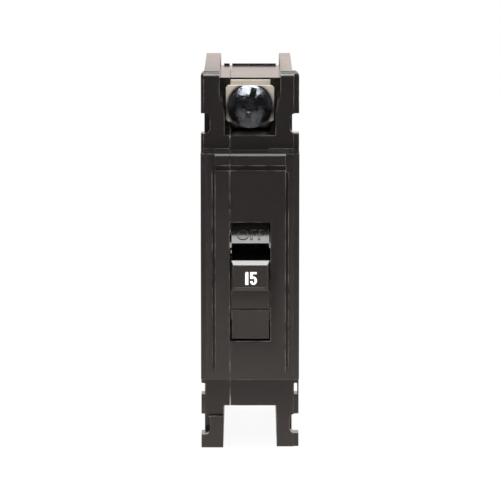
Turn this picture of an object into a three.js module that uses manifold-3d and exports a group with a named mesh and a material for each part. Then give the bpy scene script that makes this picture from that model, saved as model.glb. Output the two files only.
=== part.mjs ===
// A single-pole plug-on circuit breaker, one inch wide, built piece by piece.
// Millimetres, +Z up. The breaker stands on its feet and its front faces -Y.
// Depths run forward from the back face, heights run up from the feet, and
// places across are measured from the middle, positive to the right.
import * as THREE from 'three';
import { mergeVertices } from 'three/addons/utils/BufferGeometryUtils.js';
import Module from 'manifold-3d';

const wasm = await Module();
wasm.setup();

// Housing: overall sizes
const moduleWidth = 25.4;
const housingHeight = 98.5;
const terminalDepth = 53;
const shoulderRise = 8;
const columnRise = 0.6;
const leftRelief = 0.85;
const rightRelief = 1.75;
const leftWing = 0.6;
const rightWing = 1.3;
const flangeThickness = 4.5;
const wall = 2.2;
const panelWall = 2.4;
const partingOffset = 5.2;
const partingGap = 0.1;
const topFillet = 1.6;
const cornerRounding = 1.2;

// Housing: raised middle with its panel and handle opening
const shoulderBottom = 19.1;
const shoulderDrop = 20.3;
const shoulderChamfer = 1.5;
const shoulderFootSlope = 3.5;
const shoulderEdge = 0.5;
const columnLeft = 9.05;
const columnRight = 9.2;
const grooveDrop = 23.4;
const grooveHeight = 1.15;
const grooveDepth = 0.9;
const columnGrooveWidth = 0.6;
const ledgeHeight = 0.45;
const ledgeRise = 0.45;
const ledgeRight = 4.9;
const wingSetback = 0.4;
const openingBottom = 29.6;
const openingHeight = 30.9;
const openingRight = 5.25;

// Housing: top end with the wire terminal
const cheekInner = 7.87;
const blockDrop = 3.3;
const recessDepth = 18.4;
const recessHeight = 16.5;
const recessInner = 6.58;
const recessLedgeDrop = 7.3;
const recessTaper = 4.2;
const recessLedgeShare = 0.5;
const rearLipHeight = 0.5;
const rearLipDepth = 1;
const rearLipInset = 0.8;
const rearLipGap = 0.35;
const railNotchDrop = 9;
const railNotchHeight = 3.4;
const railNotchDepth = 5;

// Housing: bottom end with the feet and the pocket for the bus stab
const slotHeight = 10.95;
const slotHalfWidth = 6.8;
const slotDraft = 0.2;
const footStepHeight = 8.45;
const footStepRise = 1.3;
const sideNotchHeight = 2.95;
const sideNotchBottom = 13.9;
const sideNotchDepth = 1.15;
const sideNotchWeb = 0.35;
const sideNotchInner = 1.2;
const screwNotchDepth = 2.3;
const screwNotchHeight = 5.2;
const screwNotchCorner = 1.3;
const screwNotchBottom = 6.1;
const screwNotchSpacing = 79;
const pocketBottom = 13.6;
const pocketHeight = 11;
const pocketDepthShare = 0.2075;
const pocketHalfWidth = 5.8;
const ventWidth = 1.8;
const ventLength = 7;
const ventPitch = 5;
const ventCount = 3;

// Fits between pieces, and the fineness of round forms
const runningGap = 0.3;
const fitGap = 0.1;
const cutOverrun = 1;
const arcStepAngle = 5;
const mergeDistance = 1e-5;

// Rivets that hold the two shells together
const rivetRadius = 1.7;
const rivetHeadRadius = 2.9;
const rivetHeadThickness = 0.7;
const rivetEye = 0.8;
const rivetEyeDepth = 1.5;
const rivetBossWall = 1.9;
const rivetBossSink = 0.8;
const rearRivetDrop = 26;

// Handle, turning about a cross axis behind the opening
const mechanismCentre = 0.1;
const pivotRise = 14.4;
const drumShare = 0.4913;
const drumThickness = 2.2;
const drumGap = 0.6;
const drumHalfWidth = 6.2;
const drumLowerAngle = -54;
const drumUpperAngle = 46;
const skinThickness = 2;
const skinRibAngle = 5;
const hubRadius = 4.6;
const trunnionRadius = 2;
const trunnionBossWall = 1.8;
const trunnionSeat = 1.4;
const handleSwing = 18;
const nubReach = 5.9;
const nubHeight = 6.7;
const nubLift = -0.4;
const nubHalfWidth = 4.85;
const nubFaceHalfWidth = 4.35;
const nubChamfer = 0.8;
const nubTopRise = 1.1;
const nubFootChamfer = 0.4;
const stemHalfWidth = 3.4;
const stemLowerAngle = -10;
const notchLowerAngle = 15;
const notchUpperAngle = 24;
const notchWallAngle = 4;
const notchDepth = 7.6;
const padDrop = 6.1;
const padHeight = 7.75;
const padTopRise = 0.5;
const padBottomSetback = 0.55;
const padChamfer = 0.5;
const padLineDepth = 0.4;
const padLineWidth = 0.3;
const socketStandoff = 1.2;
const socketLift = 1;
const socketRadius = 1.35;
const socketWall = 1.6;
const socketMouth = 1.25;
const socketTopAngle = 100;
const socketArcStart = 120;
const socketArcEnd = 240;

// Contact arm, hanging from the handle's socket
const armLength = 20.5;
const armThickness = 1.6;
const armHalfWidth = 2.5;
const armTipHalfWidth = 3.1;
const armTipLength = 6.5;
const armBeadRadius = 1.05;
const armSwing = 24;
const contactStandoff = 7.9;
const springTabPlace = 9;
const springTabReach = 5;
const springTabWidth = 1.2;
const springTabHeight = 2.2;
const contactPlace = 18.2;
const contactRadius = 2;
const contactThickness = 1.4;
const contactFaceShare = 0.8;
const contactGapClosed = 0.25;

// Line side: strap from the stab jaw to the fixed contact
const strapThickness = 1.6;
const strapHalfWidth = 3.2;
const lineStrapEndReach = 3.4;
const lineStrapRise = 3;
const lineStrapStandoff = 2.4;
const jawThickness = 1.1;
const jawHeight = 8.4;
const jawHalfSpread = 2.6;
const jawPinch = 0.7;
const jawMouth = 2.2;
const jawTipInset = 3.4;
const clipThickness = 0.7;
const clipHeight = 4.2;
const clipReachShare = 0.62;

// Load side: terminal strap, clamp plate and screw
const loadStrapHalfWidth = 5.2;
const loadStrapStandoff = 5.8;
const loadStrapRise = 12.6;
const loadStrapFloorGap = 0.5;
const loadStrapRear = 10;
const loadStrapTab = 5.4;
const screwDrop = 9.5;
const screwReliefDepth = 3;
const screwRadius = 2.4;
const screwHoleGap = 0.3;
const screwHeadRadius = 5.6;
const screwHeadEdge = 1.1;
const screwHeadDome = 1.7;
const screwHeadSetback = 2.9;
const screwLength = 10.8;
const screwTipShare = 0.8;
const screwSlotWidth = 1.2;
const screwSlotDepth = 1.1;
const screwSlotTilt = 13;
const collarWall = 1.4;
const collarLength = 2.2;
const clampThickness = 1.5;
const clampHeight = 9.4;
const clampBottomGap = 4.05;
const clampCorner = 0.6;

// Trip unit: bimetal, magnet yoke, armature and calibration screw
const bimetalThickness = 1;
const bimetalHalfWidth = 3.5;
const bimetalOverhang = 5;
const yokeThickness = 1.5;
const yokeReach = 5.9;
const yokeHalfWidth = 5.6;
const yokeArmThickness = 1;
const yokeDrop = 4.5;
const yokeHeight = 11;
const armatureThickness = 1.2;
const armatureHalfWidth = 4.6;
const armatureLength = 16.5;
const armaturePivotDrop = 4.3;
const armatureTail = 2.7;
const armatureAirGap = 1.4;
const armaturePinRadius = 0.9;
const armatureBossWall = 1.1;
const windowHalfWidth = 1.3;
const windowHeight = 4;
const windowDrop = 13;
const leafThickness = 0.4;
const leafHalfWidth = 1.6;
const leafSeatLength = 4;
const leafReach = 3;
const leafDrop = 2;
const calibrationRadius = 1.4;
const calibrationHeadRadius = 2.2;
const calibrationHeadThickness = 1.3;
const calibrationReach = 2.4;
const calibrationDrop = 3.6;

// Cradle, the latched lever that the main spring pulls on
const cradlePivotSetback = 12.5;
const cradlePivotDrop = 5.9;
const cradleHalfWidth = 0.8;
const cradleEyeRadius = 2.5;
const cradleEyeLowAngle = -60;
const cradleEyeHighAngle = 110;
const cradlePinRadius = 1.2;
const cradleBarHalfHeight = 1.5;
const cradleNoseDrop = 6.4;
const cradleNoseHalfHeight = 0.8;
const cradleHookShare = 0.75;
const cradleHookDrop = 3;
const cradleHookWidth = 2.4;
const cradleBossWall = 1.2;

// Main spring
const springWireRadius = 0.35;
const springCoilRadius = 1.9;
const springTurns = 10;
const springStepsPerTurn = 8;
const springSides = 5;
const springLegSteps = 8;
const springLegLength = 1.6;

// Arc chamber
const arcPlateCount = 5;
const arcPlateThickness = 1;
const arcPlatePitch = 3.1;
const arcPlateStandoff = 4.8;
const arcPlateHalfWidth = 4.9;
const arcFloorGap = 0.85;
const arcPlateNotchHalfWidth = 2.2;
const arcPlateNotchDepth = 4.2;
const arcTabHeight = 2.6;
const arcSideThickness = 0.9;
const arcSideMargin = 1.4;
const arcTipClearance = 0.9;
const baffleThickness = 0.8;
const baffleHoleRadius = 0.9;

// Flexible braid from the bimetal to the contact arm
const braidRadius = 1;
const braidSides = 8;
const braidSteps = 12;
const braidEndGap = 0.3;
const braidBend = 3;
const braidWallGap = 1.8;
const braidUpperShare = 1 / 3;
const braidLowerShare = 2 / 3;

// Places worked out from the sizes above
const halfWidth = moduleWidth / 2;
const leftSide = -halfWidth + leftRelief;
const rightSide = halfWidth - rightRelief;
const leftWingEdge = -halfWidth + leftWing;
const rightWingEdge = halfWidth - rightWing;
const cavityLeft = leftSide + wall;
const cavityRight = rightSide - wall;
const shoulderFront = terminalDepth + shoulderRise;
const columnFront = shoulderFront + columnRise;
const overallDepth = columnFront + nubReach;
const panelInside = columnFront - panelWall;
const shoulderTop = housingHeight - shoulderDrop;
const recessFloor = housingHeight - recessHeight;
const recessBack = terminalDepth - recessDepth;
const blockTop = housingHeight - blockDrop;
const cavityFloor = slotHeight + wall;
const cavityTop = recessFloor - wall;
const cavityFront = terminalDepth - wall;
const openingTop = openingBottom + openingHeight;
const partingPlane = -partingOffset;
const pocketDepth = terminalDepth * pocketDepthShare;
const pocketWallFront = pocketDepth + wall;
const pocketCeiling = pocketBottom + pocketHeight + wall;
const drumRadius = (panelInside - pocketWallFront) * drumShare;
const notchFloorRadius = drumRadius - notchDepth;
const pivotDepth = panelInside - drumGap - drumRadius;
const pivotHeight = openingBottom + pivotRise;
const pivot = [pivotDepth, pivotHeight];
const skinRadius = Math.hypot(panelInside - pivotDepth, pivotRise) - runningGap;
const socketReach = hubRadius + socketStandoff;
const socket = [-socketReach, socketLift];
const armAtRest = [pivotDepth - socketReach, pivotHeight + socketLift];
const screwHeight = housingHeight - screwDrop;
const loadStrapFront = recessBack + loadStrapStandoff;
const loadStrapBack = loadStrapFront - strapThickness;
const lineStrapHeight = pocketBottom + pocketHeight / 2;
const loadStrapBottom = recessFloor + loadStrapFloorGap;
const bimetalBack = loadStrapRear + strapThickness + fitGap;
const yokeBack = bimetalBack - fitGap - yokeThickness;
const yokeFront = yokeBack + yokeReach;
const armatureBack = yokeFront + armatureAirGap;
const armaturePivotHeight = cavityTop - armaturePivotDrop;
const armaturePivot = [armatureBack + armatureThickness / 2, armaturePivotHeight];
const yokeBottom = armaturePivotHeight - yokeDrop - yokeHeight;
const bimetalBottom = yokeBottom - bimetalOverhang;
const cradlePivot = [terminalDepth - cradlePivotSetback, armaturePivotHeight - cradlePivotDrop];
const cradleNoseDepth = armaturePivot[0] + armatureThickness / 2 + runningGap - cradlePivot[0];
const cradleHookReach = -cradleNoseDepth * cradleHookShare;
const arcPlateRear = pocketWallFront + arcPlateStandoff;
const armLowest = armAtRest[1] - armLength;
const arcPlateTop = armLowest - arcTipClearance;
const arcFloor = cavityFloor + fitGap + baffleThickness + fitGap;
const arcPlateHeight = arcPlateTop - arcFloor - arcFloorGap;

const rivetBossRadius = rivetRadius + rivetBossWall;
const rivetInset = wall + rivetBossRadius - rivetBossSink;
const frontRivetDepth = terminalDepth - flangeThickness - rivetHeadRadius - rivetBossSink;
const rivetPlaces = [
  [rivetInset, housingHeight - rearRivetDrop],
  [frontRivetDepth, cavityTop],
  [frontRivetDepth, cavityFloor + rivetBossWall],
  [rivetInset, pocketCeiling + rivetBossRadius - rivetBossSink],
];

// Shape helpers. An outline is a list of [depth, height] points seen from the
// side, [across, height] seen from the front, or [across, depth] seen from above.
function radians(degrees) {
  return THREE.MathUtils.degToRad(degrees);
}

function along(start, degrees, distance) {
  const angle = radians(degrees);
  return [start[0] + distance * Math.cos(angle), start[1] + distance * Math.sin(angle)];
}

function turned(point, degrees) {
  const angle = radians(degrees);
  const [depth, height] = point;
  return [
    depth * Math.cos(angle) - height * Math.sin(angle),
    depth * Math.sin(angle) + height * Math.cos(angle),
  ];
}

function arc(centre, radius, from, to, steps = 12) {
  const points = [];
  for (let step = 0; step <= steps; step += 1) {
    points.push(along(centre, from + ((to - from) * step) / steps, radius));
  }
  return points;
}

function circle(centre, radius, steps = 24) {
  return arc(centre, radius, 0, 360, steps).slice(0, -1);
}

function sector(centre, inner, outer, from, to) {
  const steps = Math.max(2, Math.ceil(Math.abs(to - from) / arcStepAngle));
  return [...arc(centre, outer, from, to, steps), ...arc(centre, inner, to, from, steps)];
}

function rectangle(low, high) {
  return [low, [high[0], low[1]], high, [low[0], high[1]]];
}

// The closed outline of a strip of even thickness along a bent centre line.
function strip(line, thickness) {
  const half = thickness / 2;
  const left = [];
  const right = [];
  line.forEach((point, index) => {
    const before = line[Math.max(0, index - 1)];
    const after = line[Math.min(line.length - 1, index + 1)];
    const into = index > 0 ? Math.atan2(point[1] - before[1], point[0] - before[0]) : null;
    const out = index < line.length - 1 ? Math.atan2(after[1] - point[1], after[0] - point[0]) : null;
    const first = into === null ? out : into;
    const second = out === null ? into : out;
    const bend = Math.atan2(Math.sin(second - first), Math.cos(second - first)) / 2;
    const normal = first + bend + Math.PI / 2;
    const reach = half / Math.cos(bend);
    left.push([point[0] + reach * Math.cos(normal), point[1] + reach * Math.sin(normal)]);
    right.push([point[0] - reach * Math.cos(normal), point[1] - reach * Math.sin(normal)]);
  });
  return [...left, ...right.reverse()];
}

function shapeOf(points) {
  return new THREE.Shape(points.map(([u, v]) => new THREE.Vector2(u, v)));
}

// Side outline pushed across, from the left place to the right place.
function acrossGeometry(outline, left, right) {
  const shape = shapeOf(outline.map(([depth, height]) => [-depth, height]));
  const geometry = new THREE.ExtrudeGeometry(shape, { depth: right - left, bevelEnabled: false });
  const axes = new THREE.Matrix4().makeBasis(
    new THREE.Vector3(0, 1, 0),
    new THREE.Vector3(0, 0, 1),
    new THREE.Vector3(1, 0, 0),
  );
  return geometry.applyMatrix4(axes).translate(left, 0, 0);
}

// Front outline pushed forward, from the back depth to the front depth.
function forwardGeometry(outline, back, front) {
  const geometry = new THREE.ExtrudeGeometry(shapeOf(outline), {
    depth: front - back,
    bevelEnabled: false,
  });
  return geometry.rotateX(Math.PI / 2).translate(0, -back, 0);
}

// Outline seen from above pushed upward, from the bottom to the top.
function upwardGeometry(outline, bottom, top) {
  const shape = shapeOf(outline.map(([across, depth]) => [across, -depth]));
  const geometry = new THREE.ExtrudeGeometry(shape, { depth: top - bottom, bevelEnabled: false });
  return geometry.translate(0, 0, bottom);
}

// Solids for cutting and joining
function solidOf(geometry) {
  const bare = geometry.clone();
  bare.deleteAttribute('normal');
  bare.deleteAttribute('uv');
  const merged = mergeVertices(bare, mergeDistance);
  const mesh = new wasm.Mesh({
    numProp: 3,
    vertProperties: new Float32Array(merged.attributes.position.array),
    triVerts: new Uint32Array(merged.index.array),
  });
  return new wasm.Manifold(mesh);
}

function across(outline, left, right) {
  return solidOf(acrossGeometry(outline, left, right));
}

function forward(outline, back, front) {
  return solidOf(forwardGeometry(outline, back, front));
}

function upward(outline, bottom, top) {
  return solidOf(upwardGeometry(outline, bottom, top));
}

function block(left, right, back, front, bottom, top) {
  return across(rectangle([back, bottom], [front, top]), left, right);
}

function rod(centre, radius, left, right, steps = 24) {
  return across(circle(centre, radius, steps), left, right);
}

function bolt(centre, radius, back, front, steps = 24) {
  return forward(circle(centre, radius, steps), back, front);
}

function joined(solids) {
  return solids.reduce((whole, piece) => whole.add(piece));
}

function cut(solid, tools) {
  return tools.reduce((rest, tool) => rest.subtract(tool), solid);
}

function geometryOf(solid) {
  const mesh = solid.getMesh();
  const geometry = new THREE.BufferGeometry();
  const positions = new Float32Array(mesh.vertProperties);
  geometry.setAttribute('position', new THREE.BufferAttribute(positions, 3));
  geometry.setIndex(new THREE.BufferAttribute(new Uint32Array(mesh.triVerts), 1));
  geometry.computeVertexNormals();
  return geometry;
}

// Where the arm hangs when the handle is up, and how far it has to lean to close the contacts
const closedSeat = turned(socket, handleSwing);
const closedBead = [pivot[0] + closedSeat[0], pivot[1] + closedSeat[1]];
const closedLean = Math.asin((closedBead[0] - pocketWallFront - contactStandoff) / contactPlace);
const armClosedAngle = -90 - THREE.MathUtils.radToDeg(closedLean);
const armOpenAngle = armClosedAngle + armSwing;

// Materials
function plastic(color, roughness) {
  return new THREE.MeshStandardMaterial({ color, roughness, metalness: 0 });
}

function metal(color, roughness) {
  return new THREE.MeshStandardMaterial({ color, roughness, metalness: 1 });
}

const black = () => plastic('#2b2927', 0.42);
const handleBlack = () => plastic('#262524', 0.38);
const fibre = () => plastic('#8d4b35', 0.8);
const zincSteel = () => metal('#b9bcc0', 0.25);
const tinPlate = () => metal('#cfc7ba', 0.35);
const copper = () => metal('#b8734a', 0.35);
const silver = () => metal('#d8d8d4', 0.3);
const darkSteel = () => metal('#7d7f83', 0.4);
const springSteel = () => metal('#9a9da1', 0.3);
const brass = () => metal('#b99a5b', 0.35);

function piece(name, solid, material) {
  const mesh = new THREE.Mesh(geometryOf(solid), material);
  mesh.name = name;
  return mesh;
}

function placeAt(object, acrossPlace, depth, height) {
  object.position.set(acrossPlace, -depth, height);
  return object;
}

// Housing: the outside shared by both shells
function frontOutline() {
  const top = housingHeight;
  return [
    [-halfWidth, 0],
    [halfWidth, 0],
    ...arc([halfWidth - cornerRounding, top - cornerRounding], cornerRounding, 0, 90, 4),
    ...arc([-halfWidth + cornerRounding, top - cornerRounding], cornerRounding, 90, 180, 4),
  ];
}

function sideOutline() {
  const filletCentre = [terminalDepth - topFillet, housingHeight - topFillet];
  return [
    [0, 0],
    [terminalDepth, 0],
    ...arc(filletCentre, topFillet, 0, 90, 6),
    [0, housingHeight],
  ];
}

function shoulderSolid() {
  const buried = terminalDepth - wall;
  const plan = [
    [-halfWidth, buried],
    [halfWidth, buried],
    [halfWidth, shoulderFront - shoulderChamfer],
    [halfWidth - shoulderChamfer, shoulderFront],
    [columnRight, shoulderFront],
    [columnRight, columnFront],
    [-columnLeft, columnFront],
    [-columnLeft, shoulderFront],
    [-halfWidth + shoulderChamfer, shoulderFront],
    [-halfWidth, shoulderFront - shoulderChamfer],
  ];
  const profile = [
    [buried, shoulderBottom],
    [columnFront - shoulderChamfer, shoulderBottom],
    [columnFront, shoulderBottom + shoulderFootSlope],
    [columnFront, shoulderTop - shoulderEdge],
    [columnFront - shoulderEdge, shoulderTop],
    [buried, shoulderTop],
  ];
  const prism = upward(plan, shoulderBottom, shoulderTop);
  return prism.intersect(across(profile, -halfWidth, halfWidth));
}

// Low strips that step up to the raised middle, on the cover and right of the recess
function shoulderLedges() {
  const buried = terminalDepth - wall;
  const front = terminalDepth + ledgeRise;
  const low = shoulderTop - ledgeHeight;
  const high = shoulderTop + ledgeHeight;
  return [
    block(leftWingEdge, partingPlane, buried, front, low, high),
    block(ledgeRight, rightWingEdge, buried, front, low, high),
  ];
}

// Lip along the rear of the wire ledge, parted where the shells meet
function rearLips() {
  const half = cheekInner - rearLipInset;
  const low = blockTop - cutOverrun;
  const high = blockTop + rearLipHeight;
  return [
    block(-half, partingPlane - rearLipGap, 0, rearLipDepth, low, high),
    block(partingPlane + rearLipGap, half, 0, rearLipDepth, low, high),
  ];
}

function outerBody() {
  const side = across(sideOutline(), -halfWidth, halfWidth);
  const flange = forward(frontOutline(), terminalDepth - flangeThickness, terminalDepth);
  const rear = across(sideOutline(), leftSide, rightSide);
  return joined([rear, flange.intersect(side), shoulderSolid(), ...shoulderLedges()]);
}

// U-shaped notch for a mounting screw, open at one side of the flange
function screwNotch(side, height, back, front) {
  const low = height - screwNotchHeight / 2;
  const high = height + screwNotchHeight / 2;
  const inner = halfWidth - screwNotchDepth + screwNotchCorner;
  const outline = [
    [halfWidth + cutOverrun, low],
    [halfWidth + cutOverrun, high],
    ...arc([inner, high - screwNotchCorner], screwNotchCorner, 90, 180, 6),
    ...arc([inner, low + screwNotchCorner], screwNotchCorner, 180, 270, 6),
  ];
  return forward(outline.map(([place, level]) => [side * place, level]), back, front);
}

// Notches for the mounting screws, and the small side notches
function edgeCuts() {
  const back = terminalDepth - flangeThickness;
  const front = terminalDepth + footStepRise + cutOverrun;
  const cuts = [];
  [-1, 1].forEach((side) => {
    [screwNotchBottom, screwNotchBottom + screwNotchSpacing].forEach((height) => {
      cuts.push(screwNotch(side, height, back, front));
    });
  });
  const low = sideNotchBottom;
  const high = sideNotchBottom + sideNotchHeight;
  cuts.push(block(-halfWidth - cutOverrun, -halfWidth + sideNotchDepth, -cutOverrun, front, low, high));
  const inner = halfWidth - sideNotchInner;
  cuts.push(block(inner, halfWidth - sideNotchWeb, back - cutOverrun, front, low, high));
  return cuts;
}

// The flange stands a little back where it reaches past the sides
function wingCuts() {
  const back = terminalDepth - wingSetback;
  const front = terminalDepth + cutOverrun;
  const cuts = [];
  [
    [-cutOverrun, shoulderBottom],
    [shoulderTop, housingHeight + cutOverrun],
  ].forEach(([low, high]) => {
    cuts.push(block(-halfWidth - cutOverrun, leftWingEdge, back, front, low, high));
    cuts.push(block(rightWingEdge, halfWidth + cutOverrun, back, front, low, high));
  });
  return cuts;
}

// The front of the left foot stands a little forward
function leftFoot() {
  const back = terminalDepth - flangeThickness;
  const front = terminalDepth + footStepRise;
  return block(-halfWidth, -slotHalfWidth, back, front, 0, footStepHeight);
}

function topCuts() {
  const over = housingHeight + cutOverrun;
  const front = terminalDepth + cutOverrun;
  const ledge = housingHeight - recessLedgeDrop;
  const ledgeInner = cheekInner - (cheekInner - recessInner) * recessLedgeShare;
  const recess = [
    [-recessInner, recessFloor],
    [recessInner, recessFloor],
    [recessInner, ledge - recessTaper],
    [ledgeInner, ledge],
    [cheekInner, ledge],
    [cheekInner, over],
    [-cheekInner, over],
    [-cheekInner, ledge],
    [-ledgeInner, ledge],
    [-recessInner, ledge - recessTaper],
  ];
  const railTop = housingHeight - railNotchDrop + railNotchHeight;
  const relief = screwRadius + 2 * runningGap;
  return [
    block(-cheekInner, cheekInner, -cutOverrun, front, blockTop, over),
    forward(recess, recessBack, front),
    bolt([0, screwHeight], relief, recessBack - screwReliefDepth, front),
    block(
      -halfWidth,
      halfWidth,
      -cutOverrun,
      railNotchDepth,
      housingHeight - railNotchDrop,
      railTop,
    ),
  ];
}

function bottomCuts() {
  const front = terminalDepth + footStepRise + cutOverrun;
  const slot = [
    [-slotHalfWidth - slotDraft, -cutOverrun],
    [slotHalfWidth + slotDraft, -cutOverrun],
    [slotHalfWidth, slotHeight],
    [-slotHalfWidth, slotHeight],
  ];
  const pocketTop = pocketBottom + pocketHeight;
  const cuts = [
    forward(slot, -cutOverrun, front),
    block(
      mechanismCentre - pocketHalfWidth,
      mechanismCentre + pocketHalfWidth,
      -cutOverrun,
      pocketDepth,
      pocketBottom,
      pocketTop,
    ),
  ];
  for (let vent = 0; vent < ventCount; vent += 1) {
    const back = arcPlateRear + arcPlatePitch / 2 + vent * ventPitch;
    cuts.push(
      block(
        mechanismCentre - ventLength / 2,
        mechanismCentre + ventLength / 2,
        back,
        back + ventWidth,
        slotHeight - cutOverrun,
        cavityFloor + cutOverrun,
      ),
    );
  }
  return cuts;
}

function panelCuts() {
  const over = columnFront + cutOverrun;
  const grooveTop = housingHeight - grooveDrop;
  const grooveBottom = grooveTop - grooveHeight;
  const rightTop = grooveBottom - columnGrooveWidth;
  const sideBottom = shoulderBottom + shoulderFootSlope;
  const sideBack = shoulderFront - columnRise;
  return [
    block(-columnLeft, columnRight, columnFront - grooveDepth, over, grooveBottom, grooveTop),
    block(-columnLeft - columnGrooveWidth, -columnLeft, sideBack, over, sideBottom, grooveTop),
    block(columnRight, columnRight + columnGrooveWidth, sideBack, over, sideBottom, rightTop),
    block(partingPlane, openingRight, panelInside - cutOverrun, over, openingBottom, openingTop),
  ];
}

function cavity() {
  const frontLeft = -halfWidth + shoulderChamfer + wall;
  const frontRight = halfWidth - shoulderChamfer - wall;
  const slotLow = loadStrapBottom - fitGap;
  const slotHigh = loadStrapBottom + strapThickness + fitGap;
  const strapSide = loadStrapHalfWidth + fitGap;
  const lineLow = lineStrapHeight - strapThickness / 2 - fitGap;
  const lineHigh = lineStrapHeight + strapThickness / 2 + fitGap;
  const lineSide = strapHalfWidth + fitGap;
  return joined([
    block(cavityLeft, cavityRight, wall, cavityFront, pocketCeiling, cavityTop),
    block(cavityLeft, cavityRight, pocketWallFront, cavityFront, cavityFloor, pocketCeiling + cutOverrun),
    block(
      frontLeft,
      frontRight,
      cavityFront - cutOverrun,
      panelInside,
      shoulderBottom + wall,
      shoulderTop - wall,
    ),
    block(
      mechanismCentre - loadStrapHalfWidth - wall,
      mechanismCentre + loadStrapHalfWidth + wall,
      railNotchDepth + wall,
      recessBack - wall,
      cavityTop - cutOverrun,
      loadStrapBottom + strapThickness + wall / 2,
    ),
    block(
      mechanismCentre - strapSide,
      mechanismCentre + strapSide,
      recessBack - wall - cutOverrun,
      recessBack + cutOverrun,
      slotLow,
      slotHigh,
    ),
    block(
      mechanismCentre - lineSide,
      mechanismCentre + lineSide,
      pocketDepth - cutOverrun,
      pocketWallFront + cutOverrun,
      lineLow,
      lineHigh,
    ),
  ]);
}

// Bosses that carry pins between a side wall and the piece on the pin
function pinBosses(centre, boreRadius, bossWall, leftEnd, rightStart) {
  const radius = boreRadius + bossWall;
  const coverEnd = Math.min(leftEnd, partingPlane);
  return [
    rod(centre, radius, cavityLeft - wall / 2, coverEnd),
    rod(centre, radius, rightStart, cavityRight + wall / 2),
  ];
}

function pinBore(centre, radius, seat) {
  return rod(centre, radius, cavityLeft - seat, cavityRight + seat);
}

function bossSolids() {
  const drumLeft = mechanismCentre - drumHalfWidth - runningGap;
  const drumRight = mechanismCentre + drumHalfWidth + runningGap;
  const armatureLeft = mechanismCentre - armatureHalfWidth - runningGap;
  const armatureRight = mechanismCentre + armatureHalfWidth + runningGap;
  const cradleLeft = mechanismCentre - cradleHalfWidth - runningGap;
  const cradleRight = mechanismCentre + cradleHalfWidth + runningGap;
  const bosses = [
    ...pinBosses(pivot, trunnionRadius, trunnionBossWall, drumLeft, drumRight),
    ...pinBosses(armaturePivot, armaturePinRadius, armatureBossWall, armatureLeft, armatureRight),
    ...pinBosses(cradlePivot, cradlePinRadius, cradleBossWall, cradleLeft, cradleRight),
  ];
  rivetPlaces.forEach((place) => {
    bosses.push(rod(place, rivetBossRadius, cavityLeft - wall / 2, cavityRight + wall / 2));
  });
  return bosses;
}

function rivetHoles() {
  const holes = [];
  rivetPlaces.forEach((place) => {
    holes.push(rod(place, rivetRadius + fitGap, leftSide - cutOverrun, rightSide + cutOverrun));
    const sink = rivetHeadThickness + fitGap;
    holes.push(rod(place, rivetHeadRadius + fitGap, leftSide - cutOverrun, leftSide + sink));
    holes.push(rod(place, rivetHeadRadius + fitGap, rightSide - sink, rightSide + cutOverrun));
  });
  return holes;
}

function wholeHousing() {
  const body = cut(outerBody(), wingCuts()).add(leftFoot());
  const outside = cut(body, [
    ...edgeCuts(),
    ...topCuts(),
    ...bottomCuts(),
    ...panelCuts(),
  ]).add(joined(rearLips()));
  const hollow = outside.subtract(cavity());
  const withBosses = hollow.add(joined(bossSolids()).intersect(outside));
  return cut(withBosses, [
    ...rivetHoles(),
    pinBore(pivot, trunnionRadius + fitGap, trunnionSeat + fitGap),
    pinBore(armaturePivot, armaturePinRadius + fitGap, trunnionSeat / 2 + fitGap),
    pinBore(cradlePivot, cradlePinRadius + fitGap, trunnionSeat + fitGap),
  ]);
}

function housingShells() {
  const whole = wholeHousing();
  const deep = overallDepth + cutOverrun;
  const high = housingHeight + cutOverrun;
  const rightHalf = block(
    partingPlane + partingGap / 2,
    halfWidth + cutOverrun,
    -cutOverrun,
    deep,
    -cutOverrun,
    high,
  );
  const leftHalf = block(
    -halfWidth - cutOverrun,
    partingPlane - partingGap / 2,
    -cutOverrun,
    deep,
    -cutOverrun,
    high,
  );
  return [
    piece('base', whole.intersect(rightHalf), black()),
    piece('cover', whole.intersect(leftHalf), black()),
  ];
}

function rivets() {
  return rivetPlaces.map((place, index) => {
    const eyeLeft = rod([0, 0], rivetEye, leftSide - cutOverrun, leftSide + rivetEyeDepth, 12);
    const eyeRight = rod([0, 0], rivetEye, rightSide - rivetEyeDepth, rightSide + cutOverrun, 12);
    const body = joined([
      rod([0, 0], rivetRadius, leftSide, rightSide),
      rod([0, 0], rivetHeadRadius, leftSide, leftSide + rivetHeadThickness),
      rod([0, 0], rivetHeadRadius, rightSide - rivetHeadThickness, rightSide),
    ]);
    const rivet = piece(`rivet_${index + 1}`, cut(body, [eyeLeft, eyeRight]), zincSteel());
    return placeAt(rivet, 0, place[0], place[1]);
  });
}

// Handle, drawn about its own pivot
function nubSolid() {
  const front = overallDepth - pivotDepth;
  const top = nubLift + nubHeight;
  const outline = [
    along([0, 0], nubLift - notchWallAngle, drumRadius - drumThickness),
    [front - nubFootChamfer, nubLift],
    [front, nubLift + nubFootChamfer],
    [front, top],
    [front - nubChamfer, top + nubTopRise],
    along([0, 0], notchLowerAngle, skinRadius),
    along([0, 0], notchLowerAngle, drumRadius - drumThickness),
  ];
  const body = across(outline, -nubHalfWidth, nubHalfWidth);
  const plan = [
    [-nubHalfWidth, 0],
    [nubHalfWidth, 0],
    [nubHalfWidth, front - nubChamfer],
    [nubFaceHalfWidth, front],
    [-nubFaceHalfWidth, front],
    [-nubHalfWidth, front - nubChamfer],
  ];
  return body.intersect(upward(plan, nubLift - nubHeight, top + nubHeight));
}

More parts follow.
